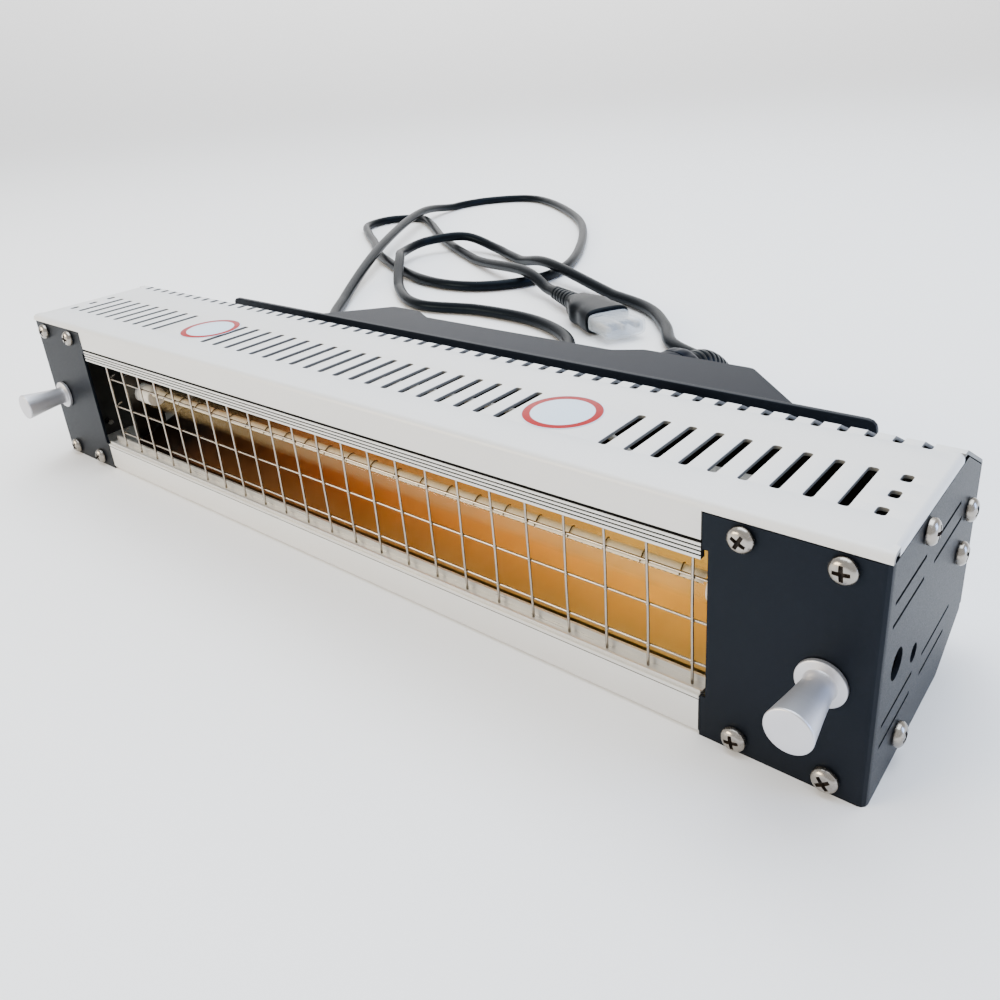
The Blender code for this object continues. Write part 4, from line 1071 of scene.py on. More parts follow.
@dataclass(frozen=True)
class SlotRow:
    """A row of slots with round ends: their middles along X, and each one's stretches along the sheet."""

    middles: np.ndarray
    stretches: tuple[tuple[Pair, ...], ...]
    half: float
    corner: float = 0.85

    def widths(self, stations: np.ndarray) -> np.ndarray:
        """Half-width of each slot at each station.

        It is the slot's own half-width along its straight part, the corner arc's chord within one corner
        radius of an end, and nothing outside.

        Args:
            stations: Distances along the sheet, shape (n,).

        Returns:
            Half-widths of shape (n, slots).
        """
        widths = np.zeros((len(stations), len(self.middles)))
        for index, stretches in enumerate(self.stretches):
            for start, end in stretches:
                inside = np.minimum(stations - start, end - stations)
                arm = np.clip(self.corner - inside, 0, self.corner)
                chord = self.half - self.corner + np.sqrt(np.clip(self.corner**2 - arm**2, 0, None))
                widths[:, index] = np.maximum(widths[:, index], np.where(inside > 1e-4, chord, 0))
        return widths

    def stations(self) -> np.ndarray:
        """Where rows are needed for round ends: close together within one radius of each end.

        Returns:
            Distances along the sheet, in order.
        """
        ends = {stretch for group in self.stretches for stretch in group}
        near = self.corner * (1 - np.cos(np.linspace(0, np.pi / 2, 6)))
        near = np.concatenate([near, [0.004]])
        found = [np.concatenate([start + near, end - near]) for start, end in ends]
        return np.unique(np.round(np.concatenate(found), 5))


@dataclass
class Housing:
    """The two grey covers, the trims and the round labels."""

    radius: float = 2.0
    slot_width: float = 2.6
    slot_front: float = 14.2
    slot_length: float = 21.4
    pitch: float = 7.85
    side_start: float = 110.6
    bridge: float = 5.1
    edge_pitch: float = 6.94
    edge_slots: int = 53
    edge_start: float = 51.5
    edge_end: float = 71.5
    lip: float = 1.5
    lip_span: Pair = (4.0, 53.0)
    flange_drop: float = 10.0
    flange_over_cap: float = 2.4
    back_foot: float = 12.0
    seam: Pair = (40.0, 46.0)
    front_lip: float = 11.0
    back_lip: float = 22.0
    rim_edge: float = 0.14
    trim_foot: float = 52.0
    trim_top: float = 56.45
    trim_tab: float = 62.1
    trim_depth: float = 2.0
    trim_grooves: tuple[float, ...] = (53.1, 54.25, 55.4)
    groove_floor: float = 0.2
    sill_foot: float = 11.3
    label_radius: float = 12.0
    label_sheet: float = 0.16
    label_places: tuple[Pair, ...] = ((89.5, 26.5), (-87.0, 26.5))

    def top_rows(self, fold: Fold) -> tuple[SlotRow, SlotRow]:
        """The slots on the flat top, and those across the bend at its back edge.

        Args:
            fold: The sheet's line.

        Returns:
            Both rows.
        """
        front = fold.station(self.slot_front)
        back = front + self.slot_length
        piece = (self.slot_length - 2 * self.bridge) / 3
        starts = [front + index * (piece + self.bridge) for index in range(3)]
        split = tuple((start, start + piece) for start in starts)
        middle = (np.arange(20) - 9.5) * self.pitch
        side = self.side_start + np.arange(10) * self.pitch
        middles = np.concatenate([-side[::-1], middle, side])
        whole = ((front, back),)
        stretches = (split, *([whole] * 38), split)
        flat = SlotRow(middles, stretches, self.slot_width / 2)
        edge = (np.arange(self.edge_slots) - (self.edge_slots - 1) / 2) * self.edge_pitch
        across = ((fold.station(self.edge_start), fold.station(self.edge_end)),)
        return flat, SlotRow(edge, (across,) * self.edge_slots, self.slot_width / 2)

    def slotted(
        self,
        fold: Fold,
        row: SlotRow,
        stations: np.ndarray,
        plain: tuple[float, ...],
    ) -> tuple[Points, np.ndarray]:
        """A band of sheet with a row of slots.

        Every slot has two columns of points, its middle less and plus its half-width at that row. Faces
        stand between neighbouring columns of different slots, so the slot itself stays open, and where its
        width is nothing its two columns fall together.

        Args:
            fold: The sheet's line.
            row: The slots.
            stations: Rows, as distances along the sheet.
            plain: Further straight columns, among them both ends.

        Returns:
            The grid's points, and which of its faces to make.
        """
        widths = row.widths(stations)
        left, right = row.middles - widths, row.middles + widths
        straight = np.broadcast_to(np.array(plain), (len(stations), len(plain)))
        columns = np.concatenate([left, right, straight], axis=1)
        slots = len(row.middles)
        key = np.concatenate([row.middles - 1e-3, row.middles + 1e-3, np.array(plain)])
        owner = np.concatenate([np.arange(slots), np.arange(slots), -1 - np.arange(len(plain))])
        order = np.argsort(key, kind="stable")
        columns, owner = columns[:, order], owner[order]
        yz = fold.at(stations)
        depth, height = (np.broadcast_to(part, columns.shape) for part in (yz[:, :1], yz[:, 1:]))
        points = np.stack([columns, depth, height], axis=-1)
        open_column = owner[:-1] == owner[1:]
        keep = np.broadcast_to(~open_column, (len(stations) - 1, columns.shape[1] - 1))
        return points, keep

    def plain_band(self, fold: Fold, stations: np.ndarray, columns: np.ndarray) -> Points:
        """A band of sheet with straight columns: X across, the fold's line down the rows.

        Args:
            fold: The sheet's line.
            stations: Rows, as distances along the sheet.
            columns: X of the columns.

        Returns:
            Points of shape (rows, columns, 3).
        """
        yz = fold.at(stations)
        shape = (len(stations), len(columns))
        return np.stack(
            [
                np.broadcast_to(columns, shape),
                np.broadcast_to(yz[:, :1], shape),
                np.broadcast_to(yz[:, 1:], shape),
            ],
            axis=-1,
        )

    def top_cover(self, dresser: Dresser) -> None:
        """Slotted top, its front flange, its folded back and the small lips at its ends.

        Args:
            dresser: Dresses the pieces and puts them on their bodies.
        """
        lay = LAYOUT
        fold = Fold(
            (
                (0, lay.height - self.flange_drop),
                (0, lay.height),
                (lay.depth - lay.chamfer_run, lay.height),
                (lay.depth, lay.height - lay.chamfer_rise),
                (lay.depth, self.back_foot),
            ),
            self.radius,
        )
        run = fold.run()
        flat, edge = self.top_rows(fold)
        half = lay.length / 2
        inner = half - self.lip
        flange = lay.cap_inner - lay.gap
        above_cap = self.flange_drop - self.flange_over_cap
        seam_front, seam_back = (fold.station(depth) for depth in self.seam)
        shell = Shell()
        front_rows = np.concatenate([[above_cap], run[(run > above_cap) & (run < fold.station(12))]])
        rows_flat = np.concatenate([front_rows, flat.stations(), [seam_front]])
        plain = (-inner, -flange, flange, inner)
        points, keep = self.slotted(fold, flat, rows_flat, plain)
        shell.grid(points, keep=keep, flip=True)
        flange_columns = points[0, :, 0]
        flange_columns = np.unique(np.round(flange_columns[np.abs(flange_columns) <= flange + 1e-6], 5))
        shell.grid(self.plain_band(fold, np.array([0, above_cap / 2, above_cap]), flange_columns), flip=True)
        fine = run[(run > edge.stretches[0][0][0]) & (run < edge.stretches[0][0][1])]
        rows_edge = np.unique(np.concatenate([[seam_back], edge.stations(), fine]))
        upper, keep = self.slotted(fold, edge, rows_edge, (-inner, inner))
        shell.grid(upper, keep=keep, flip=True)
        shell.zipper(self.merged(points[-1]), self.merged(upper[0]), flip=True)
        below = np.concatenate([[rows_edge[-1]], run[run > rows_edge[-1] + 1e-4]])
        shell.grid(self.plain_band(fold, below, self.merged(upper[-1])[:, 0]), flip=True)
        self.ends(shell, fold, inner, half, np.concatenate([rows_flat, rows_edge, below]))
        cover = shell.build("top_cover_shell", smooth=35, outward=False)
        dresser.piece(cover, COVER, "top_cover")
        self.thicken(cover, lay.sheet)

    def merged(self, row: Points) -> Points:
        """A row's points with those that fall together kept once."""
        keep = np.concatenate([[True], np.diff(row[:, 0]) > 1e-6])
        return row[keep]

    def ends(self, shell: Shell, fold: Fold, inner: float, half: float, stations: np.ndarray) -> None:
        """Close the sheet's ends: a lip turned down beside the flat top, and flat sheet elsewhere.

        The lip's first rows are a quarter circle from level to upright, and its last a straight drop.

        Args:
            shell: Shell that gets the faces.
            fold: The sheet's line.
            inner: X at which the end strip starts.
            half: X of the outer edge.
            stations: Rows, as distances along the sheet.
        """
        stations = np.unique(np.round(stations, 5))
        lip_from, lip_to = (fold.station(depth) for depth in self.lip_span)
        arc = np.linspace(0, np.pi / 2, 6)
        drop = np.array([0.6, 1.1])
        reach = np.concatenate([self.lip * np.sin(arc), [self.lip, self.lip]])
        fall = np.concatenate([self.lip * (1 - np.cos(arc)), self.lip + drop * 0.8])
        stations = np.unique(np.concatenate([stations, [lip_from, lip_to]]))
        groups = (
            (stations[stations <= lip_from], False),
            (stations[(stations >= lip_from) & (stations <= lip_to)], True),
            (stations[stations >= lip_to], False),
        )
        for side in Side:
            for rows, turned in groups:
                if len(rows) < 2:
                    continue
                yz = fold.at(rows)
                if turned:
                    across = np.broadcast_to(inner + reach, (len(rows), len(reach)))
                    height = yz[:, 1:] - fall[None]
                else:
                    across = np.broadcast_to(np.array([inner, half]), (len(rows), 2))
                    height = np.broadcast_to(yz[:, 1:], across.shape)
                depth = np.broadcast_to(yz[:, :1], across.shape)
                points = np.stack([side.value * across, depth, height], axis=-1)
                shell.grid(points, flip=side is Side.RIGHT)

    def thicken(self, obj: bpy.types.Object, thickness: float, inner: Finish = INSIDE) -> None:
        """Give a sheet its thickness on the inside, with a finish of its own there, and soften its cut
        edges.

        Args:
            obj: The sheet.
            thickness: Its thickness in millimetres.
            inner: Finish of its inner side; by default the near-black painted shade.
        """
        obj.data.materials.append(inner.material())
        obj.data.materials.append(EDGE.material())
        solid = obj.modifiers.new("sheet", "SOLIDIFY")
        solid.material_offset = 1
        solid.material_offset_rim = 2
        solid.thickness = thickness * MM
        solid.offset = -1
        solid.use_even_offset = True
        bevel = obj.modifiers.new("rims", "BEVEL")
        bevel.width = self.rim_edge * MM
        bevel.segments = 2
        bevel.limit_method = "ANGLE"
        bevel.angle_limit = math.radians(50)

    def bottom_cover(self, dresser: Dresser) -> None:
        """Plain underside with the front lip between the caps.

        Args:
            dresser: Dresses the pieces and puts them on their bodies.
        """
        lay = LAYOUT
        seam = lay.depth - lay.sheet - lay.gap
        rise = lay.chamfer_rise / lay.chamfer_run * (seam - lay.depth + lay.chamfer_run)
        back = lay.depth - lay.chamfer_run
        corners = ((0, self.front_lip), (0, 0), (back, 0), (seam, rise), (seam, self.back_lip))
        fold = Fold(corners, self.radius)
        run = fold.run()
        flange = lay.cap_inner - lay.gap
        half = lay.length / 2 - 1.5
        past_bend = fold.station(2.2)
        rows = np.unique(np.concatenate([run, [past_bend]]))
        shell = Shell()
        shell.grid(self.plain_band(fold, rows[rows <= past_bend], np.array([-flange, 0, flange])))
        whole = np.array([-half, -flange, 0, flange, half])
        shell.grid(self.plain_band(fold, rows[rows >= past_bend], whole))
        cover = shell.build("bottom_cover_shell", smooth=35, outward=False)
        dresser.piece(cover, COVER, "bottom_cover")
        self.thicken(cover, lay.sheet, BASE_INSIDE)

    def grooved(self, low: float, high: float, grooves: tuple[float, ...]) -> list[Pair]:
        """Front line of a trim from its foot up: flat at Y = 0, with a V-sided groove at each height given.

        Args:
            low: Height of its foot.
            high: Height of its top.
            grooves: Heights of the grooves.

        Returns:
            Its (Y, Z) points.
        """
        line = [(0.12, low), (0.0, low + 0.12)]
        for z in grooves:
            line += [(0.0, z - 0.3), (0.14, z - 0.2), (0.62, z - 0.14)]
            line += [(0.62, z + 0.14), (0.14, z + 0.2), (0.0, z + 0.3)]
        return [*line, (0.0, high - 0.12), (0.12, high)]

    def trims(self, dresser: Dresser) -> None:
        """Ribbed trim over the window, with a shadow gap above it, and the channelled sill below.

        Args:
            dresser: Dresses the pieces and puts them on their bodies.
        """
        half = LAYOUT.cap_inner - LAYOUT.gap
        tab = LAYOUT.sheet + LAYOUT.gap
        behind = [(tab, self.trim_top), (tab, self.trim_tab), (self.trim_depth, self.trim_tab)]
        front = self.grooved(self.trim_foot, self.trim_top, self.trim_grooves)
        upper = [*front, *behind, (self.trim_depth, self.trim_foot)]
        bar = Shell().bar(np.array(upper), -half, half).build("upper_trim_bar", smooth=25)
        dresser.piece(bar, TRIM, "upper_trim")
        self.shade_grooves(bar, self.groove_floor)
        base = self.sill_foot
        sill = [
            (0.0, base), (tab, base), (tab, base - 5.0), (2.3, base - 5.0), (2.3, base), (5.2, base),
            (5.2, base + 3.4), (4.4, base + 3.4), (4.4, base + 1.1), (1.6, base + 1.1), (1.6, base + 1.9),
            (0.9, base + 1.9), (0.9, base + 0.9), (0.12, base + 0.9), (0.0, base + 0.78),
        ]
        bar = Shell().bar(np.array(sill), -half, half).build("lower_trim_bar", smooth=25)
        dresser.piece(bar, TRIM, "lower_trim")

    def shade_grooves(self, bar: bpy.types.Object, depth: float) -> None:
        """Give the long narrow faces behind a depth a near-black finish: painted shade in the grooves and
        behind the trim's front.

        Args:
            bar: The trim.
            depth: Depth past which a face is dark.
        """
        bar.data.materials.append(INSIDE.material())
        faces = bar.data.polygons
        middles = np.empty(len(faces) * 3)
        faces.foreach_get("center", middles)
        middles = middles.reshape(-1, 3)
        # Painted shade: faces behind the depth take the near-black finish.
        sunk = middles[:, 1] > (depth - LAYOUT.centre_y) * MM
        faces.foreach_set("material_index", sunk.astype(np.int32))

    def labels(self, dresser: Dresser) -> None:
        """Round labels: a disc a sixth of a millimetre thick, its rim rounded.

        Args:
            dresser: Dresses the pieces and puts them on their bodies.
        """
        for number, (x, y) in enumerate(self.label_places, 1):
            profile = rounded_rod(self.label_sheet, self.label_radius, 0.05, 3)
            points = turned_grid(profile, 72) + np.array([x, y, LAYOUT.height])
            label = Shell().grid(points, close_columns=True).build(f"round_label_{number}", smooth=30)
            centre = LAYOUT.place(np.array([x, y, LAYOUT.height]))
            finish = RingedFinish(
                f"label_{number}",
                colour=(0.6, 0.7, 0.8),
                patches=(0.53, 0.64, 0.76),
                roughness=(0.3, 0.4),
                broad=60,
                relief=0.05,
                specular=0.1,
                radius=self.label_radius * MM,
                centre=tuple(float(value) for value in centre),
            )
            dresser.piece(label, finish, body=dresser.body_of("top_cover"))

    def build(self, dresser: Dresser) -> None:
        """Make the covers, trims and labels.

        Args:
            dresser: Dresses the pieces and puts them on their bodies.
        """
        self.top_cover(dresser)
        self.bottom_cover(dresser)
        self.trims(dresser)
        self.labels(dresser)


# Ends


@dataclass
class PanScrew:
    """A pan head with a cross recess, made as a height over a square grid bent into a disc."""

    radius: float = 3.25
    height: float = 2.2
    shank: float = 1.4
    length: float = 6.0
    recess: float = 0.56
    slot: float = 0.13
    depth: float = 1.25

    def patch(self) -> Points:
        """The head's top about +Z.

        A square grid of (u, v) goes to a disc: x is u times the root of one less half v squared, and y the
        same the other way. The height falls with the fourth power of the radius and drops straight at the
        rim. Inside the cross it is lowered by the recess depth, less towards the arms' tips.

        Returns:
            Points of shape (rows, columns, 3).
        """
        cross_rows = [0.0, self.slot * 0.5, self.slot, self.slot + 0.03, 0.3, 0.42]
        tip_rows = [self.recess, self.recess + 0.03, 0.72, 0.82, 0.9, 0.96, 0.999, 1.0]
        half = np.array(cross_rows + tip_rows)
        line = np.concatenate([-half[:0:-1], half])
        u, v = np.meshgrid(line, line)
        x = u * np.sqrt(1 - v**2 / 2)
        y = v * np.sqrt(1 - u**2 / 2)
        away = np.clip(np.hypot(x, y), 0, 1)
        z = self.height * (1 - 0.18 * away**2 - 0.42 * away**6)
        long_way = np.maximum(np.abs(u), np.abs(v))
        arms = np.minimum(np.abs(u), np.abs(v)) <= self.slot + 1e-6
        cross = arms & (long_way <= self.recess + 1e-6)
        z = np.where(cross, z - self.depth * (1 - 0.55 * (long_way / self.recess) ** 2), z)
        z = np.where(np.isclose(long_way, 1.0), 0.0, z)
        return np.stack([x * self.radius, y * self.radius, z], axis=-1)

    def shell(self, axis: Vector, origin: Place, turn: float, shell: Shell) -> None:
        """Add the whole screw to a shell: head, flat underside and shank.

        Args:
            axis: Direction in which the head points.
            origin: Where the head's underside is.
            turn: Degrees about that direction.
            shell: Shell that gets the faces.
        """
        top = self.patch()
        under = top * np.array([1, 1, 0])
        shell.grid(pose(top, axis, origin, turn), flip=True)
        shell.grid(pose(under, axis, origin, turn))
        shank = turned_grid(rounded_rod(self.length, self.shank, 0.2, 3), 14)
        shank = shank - np.array([0, 0, self.length + 0.02])
        shell.grid(pose(shank, axis, origin, turn), close_columns=True)

    def build(self, dresser: Dresser, node: str, axis: Vector, origin: Place, turn: float) -> None:
        """Make the screw for a node.

        Args:
            dresser: Dresses the pieces and puts them on their bodies.
            node: The node that the screw stands for.
            axis: Direction in which the head points.
            origin: Where the head's underside is.
            turn: Degrees about that direction.
        """
        shell = Shell()
        self.shell(axis, origin, turn, shell)
        screw = dresser.piece(shell.build(f"{node}_head", smooth=38), SCREW, node)
        # The recess gets a painted shade.
        screw.data.materials.append(RECESS_SHADE.material())
        self.darken(screw, axis, origin)

    def darken(self, screw: bpy.types.Object, axis: Vector, origin: Place) -> None:
        """Paint shade into the recess: a near-black finish on the faces whose middles lie below the head's
        curve, within the cross.

        Args:
            screw: The finished screw.
            axis: Direction in which the head points.
            origin: Where the head's underside is.
        """
        faces = screw.data.polygons
        middles = np.empty(len(faces) * 3)
        faces.foreach_get("center", middles)
        away = middles.reshape(-1, 3) - LAYOUT.place(np.array(origin))
        height = away @ np.array(axis)
        radius = np.linalg.norm(away - height[:, None] * np.array(axis), axis=1) / (self.radius * MM)
        curve = self.height * MM * (1 - 0.18 * radius**2 - 0.42 * radius**6)
        sunk = (height < curve - 0.08 * MM) & (height > 0.3 * MM) & (radius < self.recess + 0.06)
        faces.foreach_set("material_index", sunk.astype(np.int32))


@dataclass
class EndFittings:
    """Caps, their screws and the stand-off knobs."""

    # Front screws: X from the cap's inner edge, and height. Side screws: depth and height.
    front_screws: tuple[Pair, ...] = ((9.7, 4.3), (9.7, 61.0), (32.3, 4.3), (32.3, 61.0))
    side_screws: tuple[Pair, ...] = ((25.0, 60.5), (65.5, 46.5), (61.5, 35.5), (19.0, 8.0))
    turns: tuple[float, ...] = (12.0, 63.0, 38.0, 5.0, 71.0, 27.0, 50.0, 16.0)
    knob_from_end: float = 11.9
    knob_z: float = 31.0
    knob_foot: float = 0.3
    knob_length: float = 19.0

    def screws(self, dresser: Dresser) -> None:
        """Sixteen cross-head screws, each turned to its own angle.

        Args:
            dresser: Dresses the pieces and puts them on their bodies.
        """
        maker = PanScrew()
        for side in Side:
            for number, (along, z) in enumerate(self.front_screws, 1):
                origin = (side.value * (LAYOUT.cap_inner + along), -LAYOUT.gap, z)
                turn = self.turns[number - 1] + 20 * (side is Side.LEFT)
                maker.build(dresser, f"front_screw_{side.label}_{number}", Vector((0, -1, 0)), origin, turn)
            for number, (y, z) in enumerate(self.side_screws, 1):
                origin = (side.value * (LAYOUT.length / 2 + LAYOUT.gap), y, z)
                turn = self.turns[number + 3] - 15 * (side is Side.LEFT)
                outward = Vector((side.value, 0, 0))
                maker.build(dresser, f"side_screw_{side.label}_{number}", outward, origin, turn)

    def knobs(self, dresser: Dresser) -> None:
        """Conical knobs: a thin flange, a narrow neck and a body that widens to a flat tip.

        Args:
            dresser: Dresses the pieces and puts them on their bodies.
        """
        outline = np.array(
            [
                (5.9, 0.3), (6.0, 0.4), (6.0, 1.35), (5.9, 1.5), (5.7, 1.6), (4.2, 1.6), (4.0, 1.68),
                (3.86, 1.9), (3.74, 2.3), (3.75, 3.2), (3.9, 5.0), (4.2, 8.0), (4.62, 11.5), (5.1, 15.0),
                (5.42, 17.4), (5.55, 18.35), (5.57, 18.55), (5.5, 18.8), (5.36, 18.94), (5.2, 19.0),
                (3.0, 19.0),
            ]
        )
        foot = [[0, self.knob_foot], [3, self.knob_foot]]
        profile = np.concatenate([foot, outline, [[0, self.knob_length]]])
        for side in Side:
            origin = (side.value * (LAYOUT.length / 2 - self.knob_from_end), 0.0, self.knob_z)
            points = pose(turned_grid(profile, 96), Vector((0, -1, 0)), origin)
            knob = Shell().grid(points, close_columns=True).build(f"knob_{side.label}", smooth=32)
            dresser.piece(knob, KNOB, f"stand_off_knob_{side.label}")

    def build(self, dresser: Dresser) -> None:
        """Make all of it.

        Args:
            dresser: Dresses the pieces and puts them on their bodies.
        """
        for side in Side:
            dresser.refined(f"end_cap_{side.label}", CAP, 0.16, 2)
        self.screws(dresser)
        self.knobs(dresser)


# Window, reflector and lamp


@dataclass
class Burner:
    """Wire guard, gold trough and the quartz lamp with its coil."""

    pitch: float = 12.7
    rails: tuple[float, ...] = (19.1, 31.75, 44.4)
    wire: float = 0.4
    shift: float = 4.0
    plane: float = 2.8
    foot: float = 12.7
    mouth: float = 7.0
    back: float = 46.0
    aperture: float = 19.5
    rim: float = 2.5
    gold_sheet: float = 0.6
    axis: Pair = (16.0, 34.0)
    tube_radius: float = 5.0
    tube_bore: float = 3.8
    coat_radius: float = 3.2
    coat_sheet: float = 0.08
    coat_span: Pair = (32.0, 122.0)
    coil_radius: float = 0.6
    coil_pitch: float = 1.9
    coil_wire: float = 0.16
    ring_radius: float = 3.5
    ring_pitch: float = 11.8
    ring_wire: float = 0.22
    ring_span: Pair = (34.0, 126.0)

    @property
    def bars(self) -> int:
        """How many upright wires fit between the caps."""
        return 1 + int((2 * LAYOUT.cap_inner - 15) / self.pitch)

    @property
    def top(self) -> float:
        """Upper ends of the upright wires, behind the trim."""
        return LAYOUT.height - 9.4

    @property
    def rail_end(self) -> float:
        """Right ends of the long wires, behind the cap."""
        return LAYOUT.cap_inner + 2.3

    @property
    def trough(self) -> Pair:
        """Where the gold trough starts and ends."""
        return 14.3 - LAYOUT.cap_inner, LAYOUT.cap_inner + 2.1

    @property
    def tube_left(self) -> float:
        """Left end of the quartz tube."""
        return 23.3 - LAYOUT.cap_inner

    @property
    def tube_right(self) -> float:
        """Right end of the quartz tube."""
        return LAYOUT.cap_inner - 5.3

    def guard(self, dresser: Dresser) -> None:
        """Round wires welded where they cross, with a small bead at each weld.

        Args:
            dresser: Dresses the pieces and puts them on their bodies.
        """
        shell = Shell()
        places = self.shift + (np.arange(self.bars) - (self.bars - 1) / 2) * self.pitch
        stations = np.linspace(self.foot, self.top, 24)
        for number, x in enumerate(places):
            sway = 0.12 * np.sin(0.13 * stations + 1.7 * number)
            path = np.stack([x + sway, np.full_like(stations, self.plane), stations], axis=1)
            shell.grid(capped(sweep_grid(path, self.wire, 12)), close_columns=True)
        reach = 1.0 - places[0]
        bend = np.array([(reach + 2.5, 4.0), (reach + 1.2, 1.9), (reach + 0.2, 0.85), (reach - 1.0, 0.6)])
        for number, z in enumerate(self.rails):
            middle = np.linspace(-reach + 2.0, self.rail_end, 120)
            xs = np.concatenate([-bend[:, 0], middle])
            ys = self.plane + np.concatenate([bend[:, 1], np.full_like(middle, 0.6)])
            zs = z + 0.1 * np.sin(0.05 * xs + number)
            shell.grid(capped(sweep_grid(np.stack([xs, ys, zs], axis=1), self.wire, 12)), close_columns=True)
        bead = turned_grid(rounded_rod(1.5, 0.5, 0.45, 4), 10) - np.array([0, 0, 0.45])
        for x in places:
            for z in self.rails:
                shell.grid(pose(bead, Vector((0, 1, 0)), (x, self.plane, z)), close_columns=True)
        dresser.piece(shell.build("guard_wires", smooth=50), WIRE, "wire_guard")

    def reflector(self, dresser: Dresser) -> None:
        """Parabolic trough: depth falls with the square of the height off its middle, plus very shallow
        dents.

        Args:
            dresser: Dresses the pieces and puts them on their bodies.
        """
        share = np.linspace(1, -1, 61)
        depth = self.back - (self.back - self.mouth) * share**2
        height = LAYOUT.middle + self.aperture * share
        depth = np.concatenate([[self.mouth], depth, [self.mouth]])
        height = np.concatenate([[height[0] + self.rim], height, [height[-1] - self.rim]])
        across = np.linspace(*self.trough, 160)
        x, y = np.meshgrid(across, depth)
        _, z = np.meshgrid(across, height)
        inside = np.clip((y - self.mouth) / (self.back - self.mouth), 0, 1)
        y = y + 0.1 * inside * np.sin(x * 0.11 + 0.3 * z) * np.sin(x * 0.037 + 1.0)
        shell = Shell().grid(np.stack([x, y, z], axis=-1))
        trough = shell.build("gold_trough", smooth=50, outward=False)
        solid = trough.modifiers.new("sheet", "SOLIDIFY")
        solid.thickness = self.gold_sheet * MM
        solid.offset = -1
        dresser.piece(trough, GOLD, "reflector")

    def along_x(self, profile: Points, start: float, steps: int, sign: float = 1.0) -> Points:
        """Turn a profile about the lamp's own line."""
        return pose(turned_grid(profile, steps), Vector((sign, 0, 0)), (start, *self.axis))

    def lamp(self, dresser: Dresser) -> None:
        """Quartz tube, the white coat on its upper rear half, the coil, its supports and the ceramic ends.

        The coat's bright cream is partly a painted highlight along the tube's top.

        Args:
            dresser: Dresses the pieces and puts them on their bodies.
        """
        length = self.tube_right - self.tube_left
        bore, lip, outer = self.tube_bore, self.tube_radius - 0.1, self.tube_radius
        ends = [(bore, 0.0), (lip, 0.0), (outer, 0.12), (outer, length - 0.12), (lip, length), (bore, length)]
        wall = np.array(ends)
        tube = Shell().grid(self.along_x(wall, self.tube_left, 48), close_columns=True, close_rows=True)
        dresser.piece(tube.build("tube_glass", smooth=40), QUARTZ, "quartz_tube")
        angle = np.radians(np.linspace(*self.coat_span, 24))
        across = np.linspace(self.tube_left + 1, self.tube_right - 1, 60)
        x, turn = np.meshgrid(across, angle)
        arm = self.coat_radius
        coat = np.stack([x, self.axis[0] - arm * np.cos(turn), self.axis[1] + arm * np.sin(turn)], axis=-1)
        # The coat is partly a painted highlight.
        shell = Shell().grid(coat, flip=True).build("tube_coating", smooth=60, outward=False)
        solid = shell.modifiers.new("coat", "SOLIDIFY")
        solid.thickness = self.coat_sheet * MM
        solid.offset = -1
        dresser.piece(shell, WHITE_COAT_PAINTED_HIGHLIGHT, body=dresser.body_of("quartz_tube"))
        turns = (length - 6) / self.coil_pitch
        phase = np.linspace(0, 2 * np.pi * turns, int(turns * 12))
        coil = np.stack(
            [
                np.linspace(self.tube_left + 3, self.tube_right - 3, len(phase)),
                self.axis[0] - 0.8 + self.coil_radius * np.cos(phase),
                self.axis[1] + 0.9 + self.coil_radius * np.sin(phase),
            ],
            axis=1,
        )
        filament = Shell().grid(capped(sweep_grid(coil, self.coil_wire, 6)), close_columns=True)
        dresser.piece(filament.build("filament_coil", smooth=60), TUNGSTEN, "filament")
        rings = Shell()
        ring_phase = np.radians(np.linspace(*self.ring_span, 16))
        for x in np.arange(self.tube_left + 10, self.tube_right - 5, self.ring_pitch):
            path = np.stack(
                [
                    x + 0.5 * np.sin(2 * ring_phase),
                    self.axis[0] - self.ring_radius * np.cos(ring_phase),
                    self.axis[1] + self.ring_radius * np.sin(ring_phase),
                ],
                axis=1,
            )
            rings.grid(capped(sweep_grid(path, self.ring_wire, 8)), close_columns=True)
        dresser.piece(rings.build("coil_supports", smooth=60), TUNGSTEN, body=dresser.body_of("filament"))
        for side, end in ((Side.LEFT, self.tube_left), (Side.RIGHT, self.tube_right)):
            foot = [(0, 0), (4.0, 0), (4.2, 0.2), (4.2, 6.8), (4.0, 7.0), (3.3, 7.0)]
            head = [(3.3, 8.4), (3.9, 8.6), (4.1, 8.9), (4.1, 14.8), (3.9, 15.0), (0, 15.0)]
            profile = np.array(foot + head)
            points = self.along_x(profile, end + side.value * 0.3, 40, side.value)
            ceramic = Shell().grid(points, close_columns=True).build(f"ceramic_{side.label}", smooth=30)
            dresser.piece(ceramic, CERAMIC, f"lamp_end_{side.label}")

    def build(self, dresser: Dresser) -> None:
        """Make all of it.

        Args:
            dresser: Dresses the pieces and puts them on their bodies.
        """
        self.guard(dresser)
        self.reflector(dresser)
        self.lamp(dresser)


# Handle


